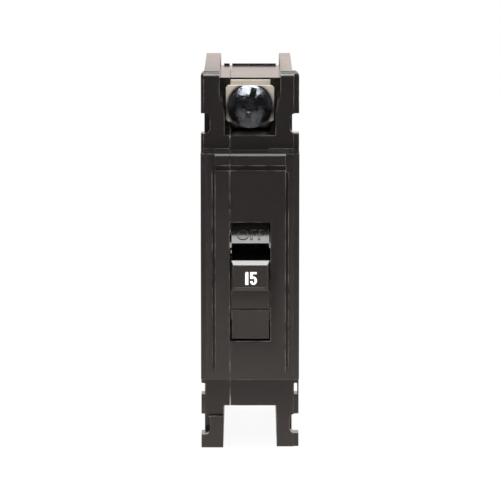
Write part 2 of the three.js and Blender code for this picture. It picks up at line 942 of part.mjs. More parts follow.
// Pad below the nub, nearly level with the panel
function padSolid() {
  const face = columnFront - pivotDepth;
  const low = -padDrop - padHeight;
  const back = drumRadius - drumThickness;
  const topFront = face + padTopRise;
  const bottomFront = face - padBottomSetback;
  const outline = [
    [back, low],
    [bottomFront, low],
    [topFront, -padDrop],
    [back, -padDrop],
  ];
  const plan = [
    [-nubHalfWidth, 0],
    [nubHalfWidth, 0],
    [nubHalfWidth, bottomFront - padChamfer],
    [nubHalfWidth - padChamfer, bottomFront],
    [nubHalfWidth - padChamfer, topFront],
    [-nubHalfWidth + padChamfer, topFront],
    [-nubHalfWidth + padChamfer, bottomFront],
    [-nubHalfWidth, bottomFront - padChamfer],
  ];
  const solid = across(outline, -nubHalfWidth, nubHalfWidth);
  return solid.intersect(upward(plan, low, -padDrop));
}

// Outer skin of the drum that fills the opening, with ribs down to the drum
function skinSolids() {
  const inner = skinRadius - skinThickness;
  const ribInner = drumRadius - drumThickness / 2;
  const ribOuter = inner + skinThickness / 2;
  const wide = (outline) => across(outline, -nubHalfWidth, nubHalfWidth);
  const ribs = [
    notchLowerAngle - skinRibAngle,
    notchUpperAngle,
    drumUpperAngle - skinRibAngle,
    drumLowerAngle,
    drumLowerAngle / 2,
  ];
  return [
    wide(sector([0, 0], inner, skinRadius, drumLowerAngle, notchLowerAngle)),
    wide(sector([0, 0], inner, skinRadius, notchUpperAngle, drumUpperAngle)),
    ...ribs.map((angle) => wide(sector([0, 0], ribInner, ribOuter, angle, angle + skinRibAngle))),
  ];
}

function socketCut() {
  const swing = armClosedAngle - armOpenAngle - handleSwing;
  const first = armOpenAngle;
  const last = armOpenAngle + swing;
  const middle = (first + last) / 2;
  const reach = socketReach + hubRadius;
  const mouth = [
    along(socket, first + 90, socketMouth),
    along(along(socket, first, reach), first + 90, socketMouth),
    along(socket, middle, reach + socketMouth),
    along(along(socket, last, reach), last - 90, socketMouth),
    along(socket, last - 90, socketMouth),
  ];
  return across(circle(socket, socketRadius), -drumHalfWidth, drumHalfWidth).add(
    across(mouth.reverse(), -drumHalfWidth, drumHalfWidth),
  );
}

function handle() {
  const drumInner = drumRadius - drumThickness;
  const floorInner = notchFloorRadius - drumThickness;
  const wide = (outline) => across(outline, -drumHalfWidth, drumHalfWidth);
  const narrow = (outline) => across(outline, -stemHalfWidth, stemHalfWidth);
  const middle = (outline) => across(outline, -nubHalfWidth, nubHalfWidth);
  const tail = [
    along([0, 0], 90, hubRadius),
    along(socket, socketTopAngle, socketRadius + socketWall),
    ...arc(socket, socketRadius + socketWall, socketArcStart, socketArcEnd, 6),
    along([0, 0], -90, hubRadius),
  ];
  const lowerWall = [notchLowerAngle - notchWallAngle, notchLowerAngle];
  const upperWall = [notchUpperAngle, notchUpperAngle + notchWallAngle];
  const trunnionLeft = cavityLeft - trunnionSeat - mechanismCentre;
  const trunnionRight = cavityRight + trunnionSeat - mechanismCentre;
  const body = joined([
    wide(circle([0, 0], hubRadius, 32)),
    wide(sector([0, 0], drumInner, drumRadius, drumLowerAngle, notchLowerAngle)),
    wide(sector([0, 0], drumInner, drumRadius, notchUpperAngle, drumUpperAngle)),
    middle(sector([0, 0], floorInner, notchFloorRadius, lowerWall[0], upperWall[1])),
    middle(sector([0, 0], floorInner, drumRadius, lowerWall[0], lowerWall[1])),
    middle(sector([0, 0], floorInner, drumRadius, upperWall[0], upperWall[1])),
    narrow([[0, 0], ...arc([0, 0], drumInner + drumThickness / 2, stemLowerAngle, notchLowerAngle, 6)]),
    middle(tail),
    ...skinSolids(),
    nubSolid(),
    padSolid(),
    rod([0, 0], trunnionRadius, trunnionLeft, trunnionRight),
  ]);
  const padLine = block(
    -nubHalfWidth,
    nubHalfWidth,
    columnFront - pivotDepth - padLineDepth,
    overallDepth - pivotDepth,
    -padDrop,
    -padDrop + padLineWidth,
  );
  const mesh = piece('handle', cut(body, [socketCut(), padLine]), handleBlack());
  return placeAt(mesh, mechanismCentre, pivotDepth, pivotHeight);
}

// Contact arm, drawn hanging straight down from its bead
function contactArm() {
  const half = armThickness / 2;
  const shank = rectangle([-half, -armLength], [half, 0]);
  const tip = rectangle([-half, -armLength], [half, -armLength + armTipLength]);
  const tabLow = -springTabPlace - springTabHeight / 2;
  const tab = [
    [half, tabLow],
    [-half, tabLow],
    [-half - springTabReach + springTabWidth, tabLow + springTabHeight / 4],
    [-half - springTabReach, tabLow + springTabHeight / 2],
    [-half - springTabReach, tabLow + springTabHeight],
    [half, tabLow + springTabHeight],
  ];
  const body = joined([
    rod([0, 0], armBeadRadius, -armHalfWidth, armHalfWidth, 16),
    across(shank, -armHalfWidth, armHalfWidth),
    across(tip, -armTipHalfWidth, armTipHalfWidth),
    across(tab, -springTabWidth / 2, springTabWidth / 2),
  ]);
  return piece('contact_arm', body, copper());
}

function contactButton(name) {
  const radius = contactRadius;
  const button = new THREE.CylinderGeometry(radius * contactFaceShare, radius, contactThickness, 24);
  return piece(name, solidOf(button), silver());
}

function movingContactGroup() {
  const group = new THREE.Group();
  const arm = contactArm();
  const contact = contactButton('moving_contact');
  const standoff = armThickness / 2 + contactThickness / 2 + fitGap;
  placeAt(contact, 0, -standoff, -contactPlace);
  group.add(arm, contact);
  placeAt(group, mechanismCentre, armAtRest[0], armAtRest[1]);
  group.rotation.x = -radians(armOpenAngle + 90);
  return group;
}

// A place beside the arm when the contacts are closed
function closedPlace(alongArm, behindArm) {
  return along(along(closedBead, armClosedAngle, alongArm), armClosedAngle - 90, behindArm);
}

function stationaryContact() {
  const facing = armThickness / 2 + fitGap + contactThickness + contactGapClosed;
  const behind = facing + contactThickness / 2;
  const place = closedPlace(contactPlace, behind);
  const contact = contactButton('stationary_contact');
  placeAt(contact, mechanismCentre, place[0], place[1]);
  contact.rotation.x = -radians(armClosedAngle + 90) + Math.PI;
  return contact;
}

function lineStrap() {
  const contacts = 2 * (contactThickness + fitGap) + contactGapClosed;
  const behind = armThickness / 2 + contacts + strapThickness / 2;
  const upper = closedPlace(contactPlace - lineStrapEndReach, behind);
  const lower = closedPlace(contactPlace + lineStrapEndReach, behind);
  const front = pocketWallFront + lineStrapStandoff;
  const line = [
    upper,
    lower,
    [front, lineStrapHeight + lineStrapRise],
    [front, lineStrapHeight],
    [pocketDepth - jawThickness - fitGap, lineStrapHeight],
  ];
  const solid = across(
    strip(line, strapThickness),
    mechanismCentre - strapHalfWidth,
    mechanismCentre + strapHalfWidth,
  );
  return piece('line_strap', solid, copper());
}

// Two spring fingers that grip the bus stab, and the steel clip round them
function jawLine(side) {
  const strapBack = pocketDepth - jawThickness - fitGap;
  const back = strapBack - fitGap - jawThickness / 2;
  const length = back - jawTipInset;
  return [
    [side * jawPinch, back],
    [side * jawHalfSpread, back],
    [side * jawHalfSpread, back - length / 4],
    [side * (jawPinch + jawThickness / 2), jawTipInset + length / 4],
    [side * jawMouth, jawTipInset],
  ];
}

function jawFinger(name, side) {
  const outline = strip(jawLine(side), jawThickness);
  const low = lineStrapHeight - jawHeight / 2;
  const ordered = side > 0 ? outline : outline.reverse();
  const solid = upward(ordered, low, low + jawHeight);
  return placeAt(piece(name, solid, copper()), mechanismCentre, 0, 0);
}

function jawClip() {
  const outer = jawHalfSpread + jawThickness / 2 + fitGap + clipThickness / 2;
  const back = pocketDepth - jawThickness - fitGap + clipThickness / 2;
  const line = [
    [-outer, back * (1 - clipReachShare)],
    [-outer, back],
  ];
  const mirrored = line.map(([place, depth]) => [-place, depth]).reverse();
  const low = lineStrapHeight + strapThickness / 2 + fitGap;
  const solid = upward(strip([...line, ...mirrored], clipThickness), low, low + clipHeight);
  return placeAt(piece('jaw_clip', solid, springSteel()), mechanismCentre, 0, 0);
}

// Load terminal
function loadStrap() {
  const centre = loadStrapFront - strapThickness / 2;
  const floor = loadStrapBottom + strapThickness / 2;
  const rear = loadStrapRear + strapThickness / 2;
  const line = [
    [centre, loadStrapBottom + loadStrapRise],
    [centre, floor],
    [rear, floor],
    [rear, floor - loadStrapTab],
  ];
  const body = across(strip(line, strapThickness), -loadStrapHalfWidth, loadStrapHalfWidth);
  const holeRadius = screwRadius + screwHoleGap;
  const hole = [0, screwHeight];
  const collarBack = loadStrapBack - collarLength;
  const collar = bolt(hole, holeRadius + collarWall, collarBack, loadStrapBack);
  const bore = bolt(hole, holeRadius, collarBack - cutOverrun, loadStrapFront + cutOverrun);
  const tabHole = bolt(
    [0, floor - calibrationDrop],
    calibrationRadius + fitGap,
    loadStrapRear - cutOverrun,
    loadStrapRear + strapThickness + cutOverrun,
  );
  const strapSolid = cut(body.add(collar), [bore, tabHole]);
  return placeAt(piece('load_strap', strapSolid, tinPlate()), mechanismCentre, 0, 0);
}

const screwFront = terminalDepth - screwHeadSetback;
const screwHeadBack = screwFront - screwHeadEdge - screwHeadDome;

function clampPlate() {
  const half = recessInner - runningGap;
  const bottom = screwHeight - clampBottomGap;
  const corner = clampCorner;
  const outline = [
    [-half + corner, bottom],
    [half - corner, bottom],
    [half, bottom + corner],
    [half, bottom + clampHeight - corner],
    [half - corner, bottom + clampHeight],
    [-half + corner, bottom + clampHeight],
    [-half, bottom + clampHeight - corner],
    [-half, bottom + corner],
  ];
  const front = screwHeadBack - fitGap;
  const plate = forward(outline, front - clampThickness, front);
  const hole = bolt([0, screwHeight], screwRadius + screwHoleGap, 0, terminalDepth);
  return piece('clamp_plate', plate.subtract(hole), tinPlate());
}

function terminalScrew() {
  const dome = [];
  const steps = 6;
  for (let step = 0; step <= steps; step += 1) {
    const share = step / steps;
    const radius = screwHeadRadius * Math.cos((share * Math.PI) / 2);
    const height = screwHeadEdge + screwHeadDome * Math.sin((share * Math.PI) / 2);
    dome.push(new THREE.Vector2(Math.max(radius, 0), height));
  }
  const profile = [
    new THREE.Vector2(0, -screwLength),
    new THREE.Vector2(screwRadius * screwTipShare, -screwLength),
    new THREE.Vector2(screwRadius, -screwLength + screwRadius / 2),
    new THREE.Vector2(screwRadius, 0),
    new THREE.Vector2(screwHeadRadius, 0),
    ...dome,
  ];
  const turnedForm = solidOf(new THREE.LatheGeometry(profile, 32).rotateX(Math.PI));
  const deep = screwHeadEdge + screwHeadDome - screwSlotDepth;
  const high = screwHeadEdge + screwHeadDome + cutOverrun;
  const bar = (half, length) => block(-half, half, deep, high, -length, length);
  const slot = bar(screwSlotWidth / 2, screwHeadRadius + cutOverrun);
  const cross = bar(screwHeadRadius / 2, screwSlotWidth / 2);
  const mesh = piece('terminal_screw', cut(turnedForm, [slot, cross]), zincSteel());
  mesh.rotation.y = radians(screwSlotTilt);
  return placeAt(mesh, 0, screwHeadBack, screwHeight);
}

// Trip unit
function bimetal() {
  const top = loadStrapBottom;
  const solid = block(
    mechanismCentre - bimetalHalfWidth,
    mechanismCentre + bimetalHalfWidth,
    bimetalBack,
    bimetalBack + bimetalThickness,
    bimetalBottom,
    top - fitGap,
  );
  return piece('bimetal', solid, brass());
}

function calibrationScrew() {
  const front = loadStrapRear + strapThickness;
  const head = loadStrapRear - calibrationReach;
  const height = loadStrapBottom + strapThickness / 2 - calibrationDrop;
  const centre = [mechanismCentre, height];
  const shank = bolt(centre, calibrationRadius, head, front, 16);
  const cap = bolt(centre, calibrationHeadRadius, head, head + calibrationHeadThickness, 16);
  return piece('calibration_screw', shank.add(cap), zincSteel());
}

function magnetYoke() {
  const outer = yokeHalfWidth;
  const inner = outer - yokeArmThickness;
  const plan = [
    [-outer, yokeBack],
    [outer, yokeBack],
    [outer, yokeFront],
    [inner, yokeFront],
    [inner, yokeBack + yokeThickness],
    [-inner, yokeBack + yokeThickness],
    [-inner, yokeFront],
    [-outer, yokeFront],
  ];
  const solid = upward(plan, yokeBottom, yokeBottom + yokeHeight);
  return placeAt(piece('magnet_yoke', solid, darkSteel()), mechanismCentre, 0, 0);
}

function armature() {
  const half = armatureThickness / 2;
  const plate = block(
    -armatureHalfWidth,
    armatureHalfWidth,
    -half,
    half,
    -armatureLength,
    armatureTail,
  );
  const pinLeft = cavityLeft - trunnionSeat / 2 - mechanismCentre;
  const pinRight = cavityRight + trunnionSeat / 2 - mechanismCentre;
  const pin = rod([0, 0], armaturePinRadius, pinLeft, pinRight, 16);
  const window = block(
    -windowHalfWidth,
    windowHalfWidth,
    -armatureThickness,
    armatureThickness,
    -windowDrop,
    -windowDrop + windowHeight,
  );
  const mesh = piece('armature', plate.subtract(window).add(pin), darkSteel());
  return placeAt(mesh, mechanismCentre, armaturePivot[0], armaturePivot[1]);
}

function armatureSpring() {
  const seat = cavityTop - fitGap - leafThickness / 2;
  const tip = armaturePivot[0] + armatureThickness / 2 + runningGap + leafThickness / 2;
  const line = [
    [tip + leafReach + leafSeatLength, seat],
    [tip + leafReach, seat],
    [tip, seat - leafDrop],
  ];
  const solid = across(
    strip(line, leafThickness),
    mechanismCentre - leafHalfWidth,
    mechanismCentre + leafHalfWidth,
  );
  return piece('armature_spring', solid, springSteel());
}

// Cradle, drawn about its pin
function cradle() {
  const nose = [cradleNoseDepth, -cradleNoseDrop];
  const hook = -cradleHookReach;
  const lineHeight = (depth) => (nose[1] * depth) / nose[0];
  const low = (depth) => lineHeight(depth) - cradleBarHalfHeight;
  const outline = [
    ...arc([0, 0], cradleEyeRadius, cradleEyeLowAngle, cradleEyeHighAngle, 10),
    [hook, lineHeight(hook) + cradleBarHalfHeight],
    [nose[0], nose[1] + cradleNoseHalfHeight],
    [nose[0], nose[1] - cradleNoseHalfHeight],
    [hook - cradleHookWidth, low(hook - cradleHookWidth)],
    [hook - cradleHookWidth, low(hook) - cradleHookDrop / 2],
    [hook - cradleHookWidth / 2, low(hook) - cradleHookDrop],
    [hook, low(hook) - cradleHookDrop / 2],
    [hook, low(hook)],
  ];
  const body = across(outline, -cradleHalfWidth, cradleHalfWidth);
  const eyeEnd = cradleHalfWidth + cutOverrun;
  const eye = rod([0, 0], cradlePinRadius + fitGap, -eyeEnd, eyeEnd);
  return placeAt(
    piece('cradle', body.subtract(eye), darkSteel()),
    mechanismCentre,
    cradlePivot[0],
    cradlePivot[1],
  );
}

function cradlePin() {
  const solid = rod([0, 0], cradlePinRadius, cavityLeft - trunnionSeat, cavityRight + trunnionSeat);
  return placeAt(piece('cradle_pin', solid, zincSteel()), 0, cradlePivot[0], cradlePivot[1]);
}

// Ends of the main spring: under the cradle's hook and over the arm's tab
function springEnds() {
  const hookDepth = cradlePivot[0] - cradleHookReach - cradleHookWidth / 2;
  const noseSlope = cradleNoseDrop / -cradleNoseDepth;
  const hookHeight = cradlePivot[1] - cradleHookReach * noseSlope - cradleBarHalfHeight - cradleHookDrop;
  const tabTip = [-springTabReach - armThickness / 2, -springTabPlace + springTabHeight / 2];
  const tabEnd = turned(tabTip, armOpenAngle + 90);
  const tabHalf = springTabWidth / 2;
  const endGap = runningGap + springWireRadius;
  return {
    top: [hookDepth, hookHeight - endGap],
    bottom: [armAtRest[0] + tabEnd[0] + tabHalf, armAtRest[1] + tabEnd[1] + endGap],
  };
}

class SpringLine extends THREE.Curve {
  constructor(top, bottom) {
    super();
    this.top = top;
    this.bottom = bottom;
  }

  getPoint(share) {
    const length = this.top.distanceTo(this.bottom);
    const legShare = springLegLength / length;
    const centre = this.top.clone().lerp(this.bottom, share);
    const coilShare = (share - legShare) / (1 - 2 * legShare);
    const inCoil = Math.min(Math.max(coilShare, 0), 1);
    const fade = Math.min(1, Math.min(inCoil, 1 - inCoil) * springTurns);
    const angle = inCoil * springTurns * 2 * Math.PI;
    const radius = springCoilRadius * fade;
    return centre.add(new THREE.Vector3(radius * Math.cos(angle), radius * Math.sin(angle), 0));
  }
}

// Least gap between turns, measured on the points of the coil's centre line
function leastSelfGap(curve) {
  const count = springTurns * springStepsPerTurn * 2;
  const points = [];
  for (let step = 0; step <= count; step += 1) {
    points.push(curve.getPoint(step / count));
  }
  let least = Infinity;
  const skip = Math.round(springStepsPerTurn + springStepsPerTurn / 2);
  points.forEach((point, index) => {
    for (let other = index + skip; other < points.length; other += 1) {
      least = Math.min(least, point.distanceTo(points[other]));
    }
  });
  return least - 2 * springWireRadius;
}

function ring(radius, sides) {
  const points = [];
  for (let side = 0; side < sides; side += 1) {
    const angle = (side / sides) * 2 * Math.PI;
    points.push(new THREE.Vector2(radius * Math.cos(angle), radius * Math.sin(angle)));
  }
  return new THREE.Shape(points);
}

function mainSpring() {
  const ends = springEnds();
  const top = new THREE.Vector3(mechanismCentre, -ends.top[0], ends.top[1]);
  const bottom = new THREE.Vector3(mechanismCentre, -ends.bottom[0], ends.bottom[1]);
  const curve = new SpringLine(top, bottom);
  console.log('main spring least gap between turns', leastSelfGap(curve).toFixed(2));
  const steps = springTurns * springStepsPerTurn + 2 * springLegSteps;
  const tube = new THREE.ExtrudeGeometry(ring(springWireRadius, springSides), {
    steps,
    extrudePath: curve,
    bevelEnabled: false,
  });
  return piece('main_spring', solidOf(tube), springSteel());
}

// Arc chamber
function arcPlate(index) {
  const half = arcPlateHalfWidth;
  const bottom = arcPlateTop - arcPlateHeight;
  const top = arcPlateTop;
  const tabLow = (bottom + top - arcTabHeight) / 2;
  const tabHigh = tabLow + arcTabHeight;
  const tabReach = half + fitGap + arcSideThickness;
  const outline = [
    [-half, bottom],
    [half, bottom],
    [half, tabLow],
    [tabReach, tabLow],
    [tabReach, tabHigh],
    [half, tabHigh],
    [half, top],
    [arcPlateNotchHalfWidth, top],
    [0, top - arcPlateNotchDepth],
    [-arcPlateNotchHalfWidth, top],
    [-half, top],
    [-half, tabHigh],
    [-tabReach, tabHigh],
    [-tabReach, tabLow],
    [-half, tabLow],
  ];
  const back = arcPlateRear + index * arcPlatePitch;
  const solid = forward(outline, back, back + arcPlateThickness);
  return placeAt(piece(`arc_plate_${index + 1}`, solid, darkSteel()), mechanismCentre, 0, 0);
}

function arcSide(name, side) {
  const inner = arcPlateHalfWidth + fitGap;
  const outer = inner + arcSideThickness;
  const back = arcPlateRear - arcSideMargin;
  const front = arcPlateRear + (arcPlateCount - 1) * arcPlatePitch + arcPlateThickness + arcSideMargin;
  const tabLow = arcPlateTop - (arcPlateHeight + arcTabHeight) / 2;
  const left = side > 0 ? inner : -outer;
  const right = side > 0 ? outer : -inner;
  const plate = block(left, right, back, front, arcFloor, arcPlateTop + arcSideMargin);
  const windows = [];
  for (let index = 0; index < arcPlateCount; index += 1) {
    const depth = arcPlateRear + index * arcPlatePitch;
    windows.push(
      block(
        left - cutOverrun,
        right + cutOverrun,
        depth - fitGap,
        depth + arcPlateThickness + fitGap,
        tabLow - fitGap,
        tabLow + arcTabHeight + fitGap,
      ),
    );
  }
  return placeAt(piece(name, cut(plate, windows), fibre()), mechanismCentre, 0, 0);
}

function ventBaffle() {
  const outer = arcPlateHalfWidth + fitGap + arcSideThickness;
  const back = arcPlateRear - arcSideMargin;
  const front = arcPlateRear + (arcPlateCount - 1) * arcPlatePitch + arcPlateThickness + arcSideMargin;
  const bottom = cavityFloor + fitGap;
  const plate = block(-outer, outer, back, front, bottom, bottom + baffleThickness);
  const holes = [];
  for (let index = 0; index < ventCount; index += 1) {
    const depth = arcPlateRear + (arcPlatePitch + ventWidth) / 2 + index * ventPitch;
    [-ventLength / 4, ventLength / 4].forEach((place) => {
      const hole = circle([place, depth], baffleHoleRadius, 12);
      holes.push(upward(hole.reverse(), bottom - cutOverrun, bottom + baffleThickness + cutOverrun));
    });
  }
  return placeAt(piece('vent_baffle', cut(plate, holes), fibre()), mechanismCentre, 0, 0);
}

// Flexible braid, on the left of the mechanism
function flexibleBraid() {
  const start = [
    mechanismCentre - bimetalHalfWidth / 2,
    bimetalBack + bimetalThickness / 2,
    bimetalBottom - braidEndGap,
  ];
  const armPoint = turned([0, -springTabPlace - springTabHeight], armOpenAngle + 90);
  const end = [
    mechanismCentre - armHalfWidth - braidEndGap,
    armAtRest[0] + armPoint[0],
    armAtRest[1] + armPoint[1],
  ];
  const bulge = cavityLeft + braidWallGap + 2 * braidRadius;
  const places = [
    start,
    [start[0] - braidRadius, start[1] + braidRadius / 2, start[2] - braidBend],
    [bulge, start[1] + braidBend, THREE.MathUtils.lerp(start[2], end[2], braidUpperShare)],
    [
      bulge - braidRadius,
      (start[1] + end[1]) / 2,
      THREE.MathUtils.lerp(start[2], end[2], braidLowerShare),
    ],
    [end[0] - braidBend, end[1] - braidRadius, end[2] + braidRadius / 2],
    end,
  ];
  const points = places.map(([place, depth, height]) => new THREE.Vector3(place, -depth, height));
  const path = new THREE.CatmullRomCurve3(points);
  const tube = new THREE.ExtrudeGeometry(ring(braidRadius, braidSides), {
    steps: braidSteps,
    extrudePath: path,
    bevelEnabled: false,
  });
  return piece('flexible_braid', solidOf(tube), copper());
}

function lineSide() {
  const group = new THREE.Group();
  group.add(lineStrap(), stationaryContact(), jawFinger('line_jaw_left', -1));
  group.add(jawFinger('line_jaw_right', 1), jawClip());
  return group;
}

function loadSide() {
  const group = new THREE.Group();
  group.add(loadStrap(), clampPlate(), terminalScrew());
  return group;
}

function tripUnit() {
  const group = new THREE.Group();
  group.add(bimetal(), calibrationScrew(), magnetYoke(), armature(), armatureSpring());
  group.add(cradle(), cradlePin());
  return group;
}

function arcChamber() {
  const group = new THREE.Group();
  for (let index = 0; index < arcPlateCount; index += 1) {
    group.add(arcPlate(index));
  }
  group.add(arcSide('arc_side_left', -1), arcSide('arc_side_right', 1), ventBaffle());
  return group;
}

const group = new THREE.Group();
group.add(...housingShells(), ...rivets(), handle(), movingContactGroup());
group.add(mainSpring(), flexibleBraid());
group.add(lineSide(), loadSide(), tripUnit(), arcChamber());
group.position.y = overallDepth / 2;
group.updateMatrixWorld(true);

export default group;
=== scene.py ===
"""Looks of a one inch plug-on circuit breaker, laid out as an add-on and run as a script.

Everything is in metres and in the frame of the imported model: +X right, -Y front, +Z up.
"""
import math

import bpy
from bpy.props import FloatProperty, FloatVectorProperty, PointerProperty
from mathutils import Matrix, Vector


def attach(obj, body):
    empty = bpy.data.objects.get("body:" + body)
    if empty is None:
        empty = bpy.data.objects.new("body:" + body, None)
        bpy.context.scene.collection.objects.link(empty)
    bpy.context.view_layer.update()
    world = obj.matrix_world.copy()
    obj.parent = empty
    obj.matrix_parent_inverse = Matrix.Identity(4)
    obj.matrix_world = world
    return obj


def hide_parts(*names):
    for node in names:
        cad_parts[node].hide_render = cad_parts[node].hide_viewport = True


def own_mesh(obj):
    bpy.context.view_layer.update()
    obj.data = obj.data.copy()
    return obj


bl_info = {
    "name": "Plug-on circuit breaker",
    "version": (1, 0, 0),
    "blender": (4, 5, 0),
    "location": "View3D > Sidebar > Breaker",
    "description": "Dresses the packed circuit breaker with edges, legends, finishes and a studio",
    "category": "Object",
}

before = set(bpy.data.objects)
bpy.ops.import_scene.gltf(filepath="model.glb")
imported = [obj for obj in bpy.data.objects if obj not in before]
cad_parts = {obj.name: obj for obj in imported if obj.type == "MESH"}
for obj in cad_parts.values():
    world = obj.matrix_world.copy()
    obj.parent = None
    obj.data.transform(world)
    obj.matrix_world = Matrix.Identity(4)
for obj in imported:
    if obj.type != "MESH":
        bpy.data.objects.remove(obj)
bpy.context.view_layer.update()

# One millimetre in metres
MM = 0.001
# Vertices nearer than this are one vertex
MERGE = 1e-7
# Faces that meet at less than FLAT are one face, and edges over SHARP are sharp
FLAT = math.radians(0.5)
SHARP = math.radians(32)
# A face looks along an axis when its normal has at least this share of it
FACING = 0.9

# Sockets of a Mix node that mixes colours
MIX_FIRST = 6
MIX_SECOND = 7
MIX_RESULT = 2

# Places that the part's source also uses, in metres
MIDDLE = 0.1 * MM
PIVOT = Vector((MIDDLE, -2.25 * MM, 44 * MM))
DRUM_RADIUS = 27.0 * MM
NUB_FACE = -33.75 * MM
NUB_TOP = 50.3 * MM
NUB_FACE_HALF_WIDTH = 4.35 * MM
SCREW_PLACE = Vector((0, -13.55 * MM, 89 * MM))
PARTING = -5.2 * MM

# The vertices of the nub's foot lie below and in front of these, and move back by the lean
NUB_FOOT_TOP = 44.05 * MM
NUB_FOOT_DEPTH = -32.9 * MM
NUB_LEAN = 0.35 * MM
# The vertices of the rim on the nub's face lie in front of this
RIM_REAR = -32.95 * MM

# The vertices of the pad below the nub lie between these heights and in front of its rear. Past
# its half width they come forward by the fill, and within a fill of it they move out
PAD_LOW = 30.1 * MM
PAD_HIGH = 36.6 * MM
PAD_REAR = -26.7 * MM
PAD_HALF_WIDTH = 4.6 * MM
PAD_FILL = 0.4 * MM

# In every finish, the share of the fine grain, and how much larger the broad clouds are
FINE_SHARE = 0.6
BROAD_RATIO = 14

# Height of the built-in font's capitals against its size
CAPITALS = 0.7


def linear(code):
    """Turns an sRGB hex colour such as #1f1d1c into linear red, green and blue."""
    values = [int(code[index : index + 2], 16) / 255 for index in (1, 3, 5)]
    return tuple(v / 12.92 if v <= 0.04045 else ((v + 0.055) / 1.055) ** 2.4 for v in values)


def per(size):
    """Texture scale at which one cell of a pattern on Object coordinates measures size."""
    return 1 / size


def add_node(tree, kind, settings=None, values=None, links=None):
    """Adds one node with its settings, socket values and incoming links."""
    node = tree.nodes.new(kind)
    for name, value in (settings or {}).items():
        setattr(node, name, value)
    for name, value in (values or {}).items():
        node.inputs[name].default_value = value
    for name, source in (links or {}).items():
        tree.links.new(source, node.inputs[name])
    return node


def new_material(name):
    """An empty node material with its output node."""
    material = bpy.data.materials.new(name)
    material.use_nodes = True
    material.node_tree.nodes.clear()
    output = add_node(material.node_tree, "ShaderNodeOutputMaterial")
    return material, material.node_tree, output


def opaque(colour):
    """A colour with full alpha, as a socket takes it."""
    return (*colour, 1)


def worn_and_highlit_edges(tree, plain, place, highlight_and_wear, width, patch, most):
    """The plain colour, paler along outer edges: painted edge highlight, partly wear.

    The line is width wide, comes and goes in patches of that size, and most is its largest share.
    """
    patchy = add_node(
        tree,
        "ShaderNodeTexNoise",
        values={"Scale": per(patch), "Detail": 3, "Roughness": 0.65},
        links={"Vector": place},
    )
    inside = add_node(
        tree,
        "ShaderNodeAmbientOcclusion",
        settings={"inside": True, "only_local": True, "samples": 8},
        values={"Distance": width},
    )
    edge = add_node(
        tree,
        "ShaderNodeMapRange",
        values={"From Min": 0.9, "From Max": 0.5, "To Min": 0, "To Max": 1},
        links={"Value": inside.outputs["AO"]},
    )
    broken = add_node(
        tree,
        "ShaderNodeMapRange",
        values={"From Min": 0.42, "From Max": 0.66, "To Min": 0.05 * most, "To Max": most},
        links={"Value": patchy.outputs["Fac"]},
    )
    share = add_node(
        tree,
        "ShaderNodeMath",
        settings={"operation": "MULTIPLY"},
        links={0: edge.outputs["Result"], 1: broken.outputs["Result"]},
    )
    mixed = add_node(
        tree,
        "ShaderNodeMix",
        settings={"data_type": "RGBA"},
        values={MIX_SECOND: opaque(highlight_and_wear)},
        links={0: share.outputs[0], MIX_FIRST: plain},
    )
    return mixed.outputs[MIX_RESULT]


def painted_shade_corners(tree, plain, reach):
    """A colour that goes dark where other surfaces stand closer than the reach: painted shade."""
    nearby = add_node(
        tree,
        "ShaderNodeAmbientOcclusion",
        settings={"samples": 8},
        values={"Distance": reach},
    )
    unshaded = add_node(
        tree,
        "ShaderNodeMapRange",
        values={"From Min": 0.62, "From Max": 0.9, "To Min": 0.02, "To Max": 1},
        links={"Value": nearby.outputs["AO"]},
    )
    # Near black mixed in: the painted shade in corners and under things
    mixed = add_node(
        tree,
        "ShaderNodeMix",
        settings={"data_type": "RGBA"},
        values={MIX_FIRST: opaque(linear("#0d0d0d"))},
        links={0: unshaded.outputs["Result"], MIX_SECOND: plain},
    )
    return mixed.outputs[MIX_RESULT]


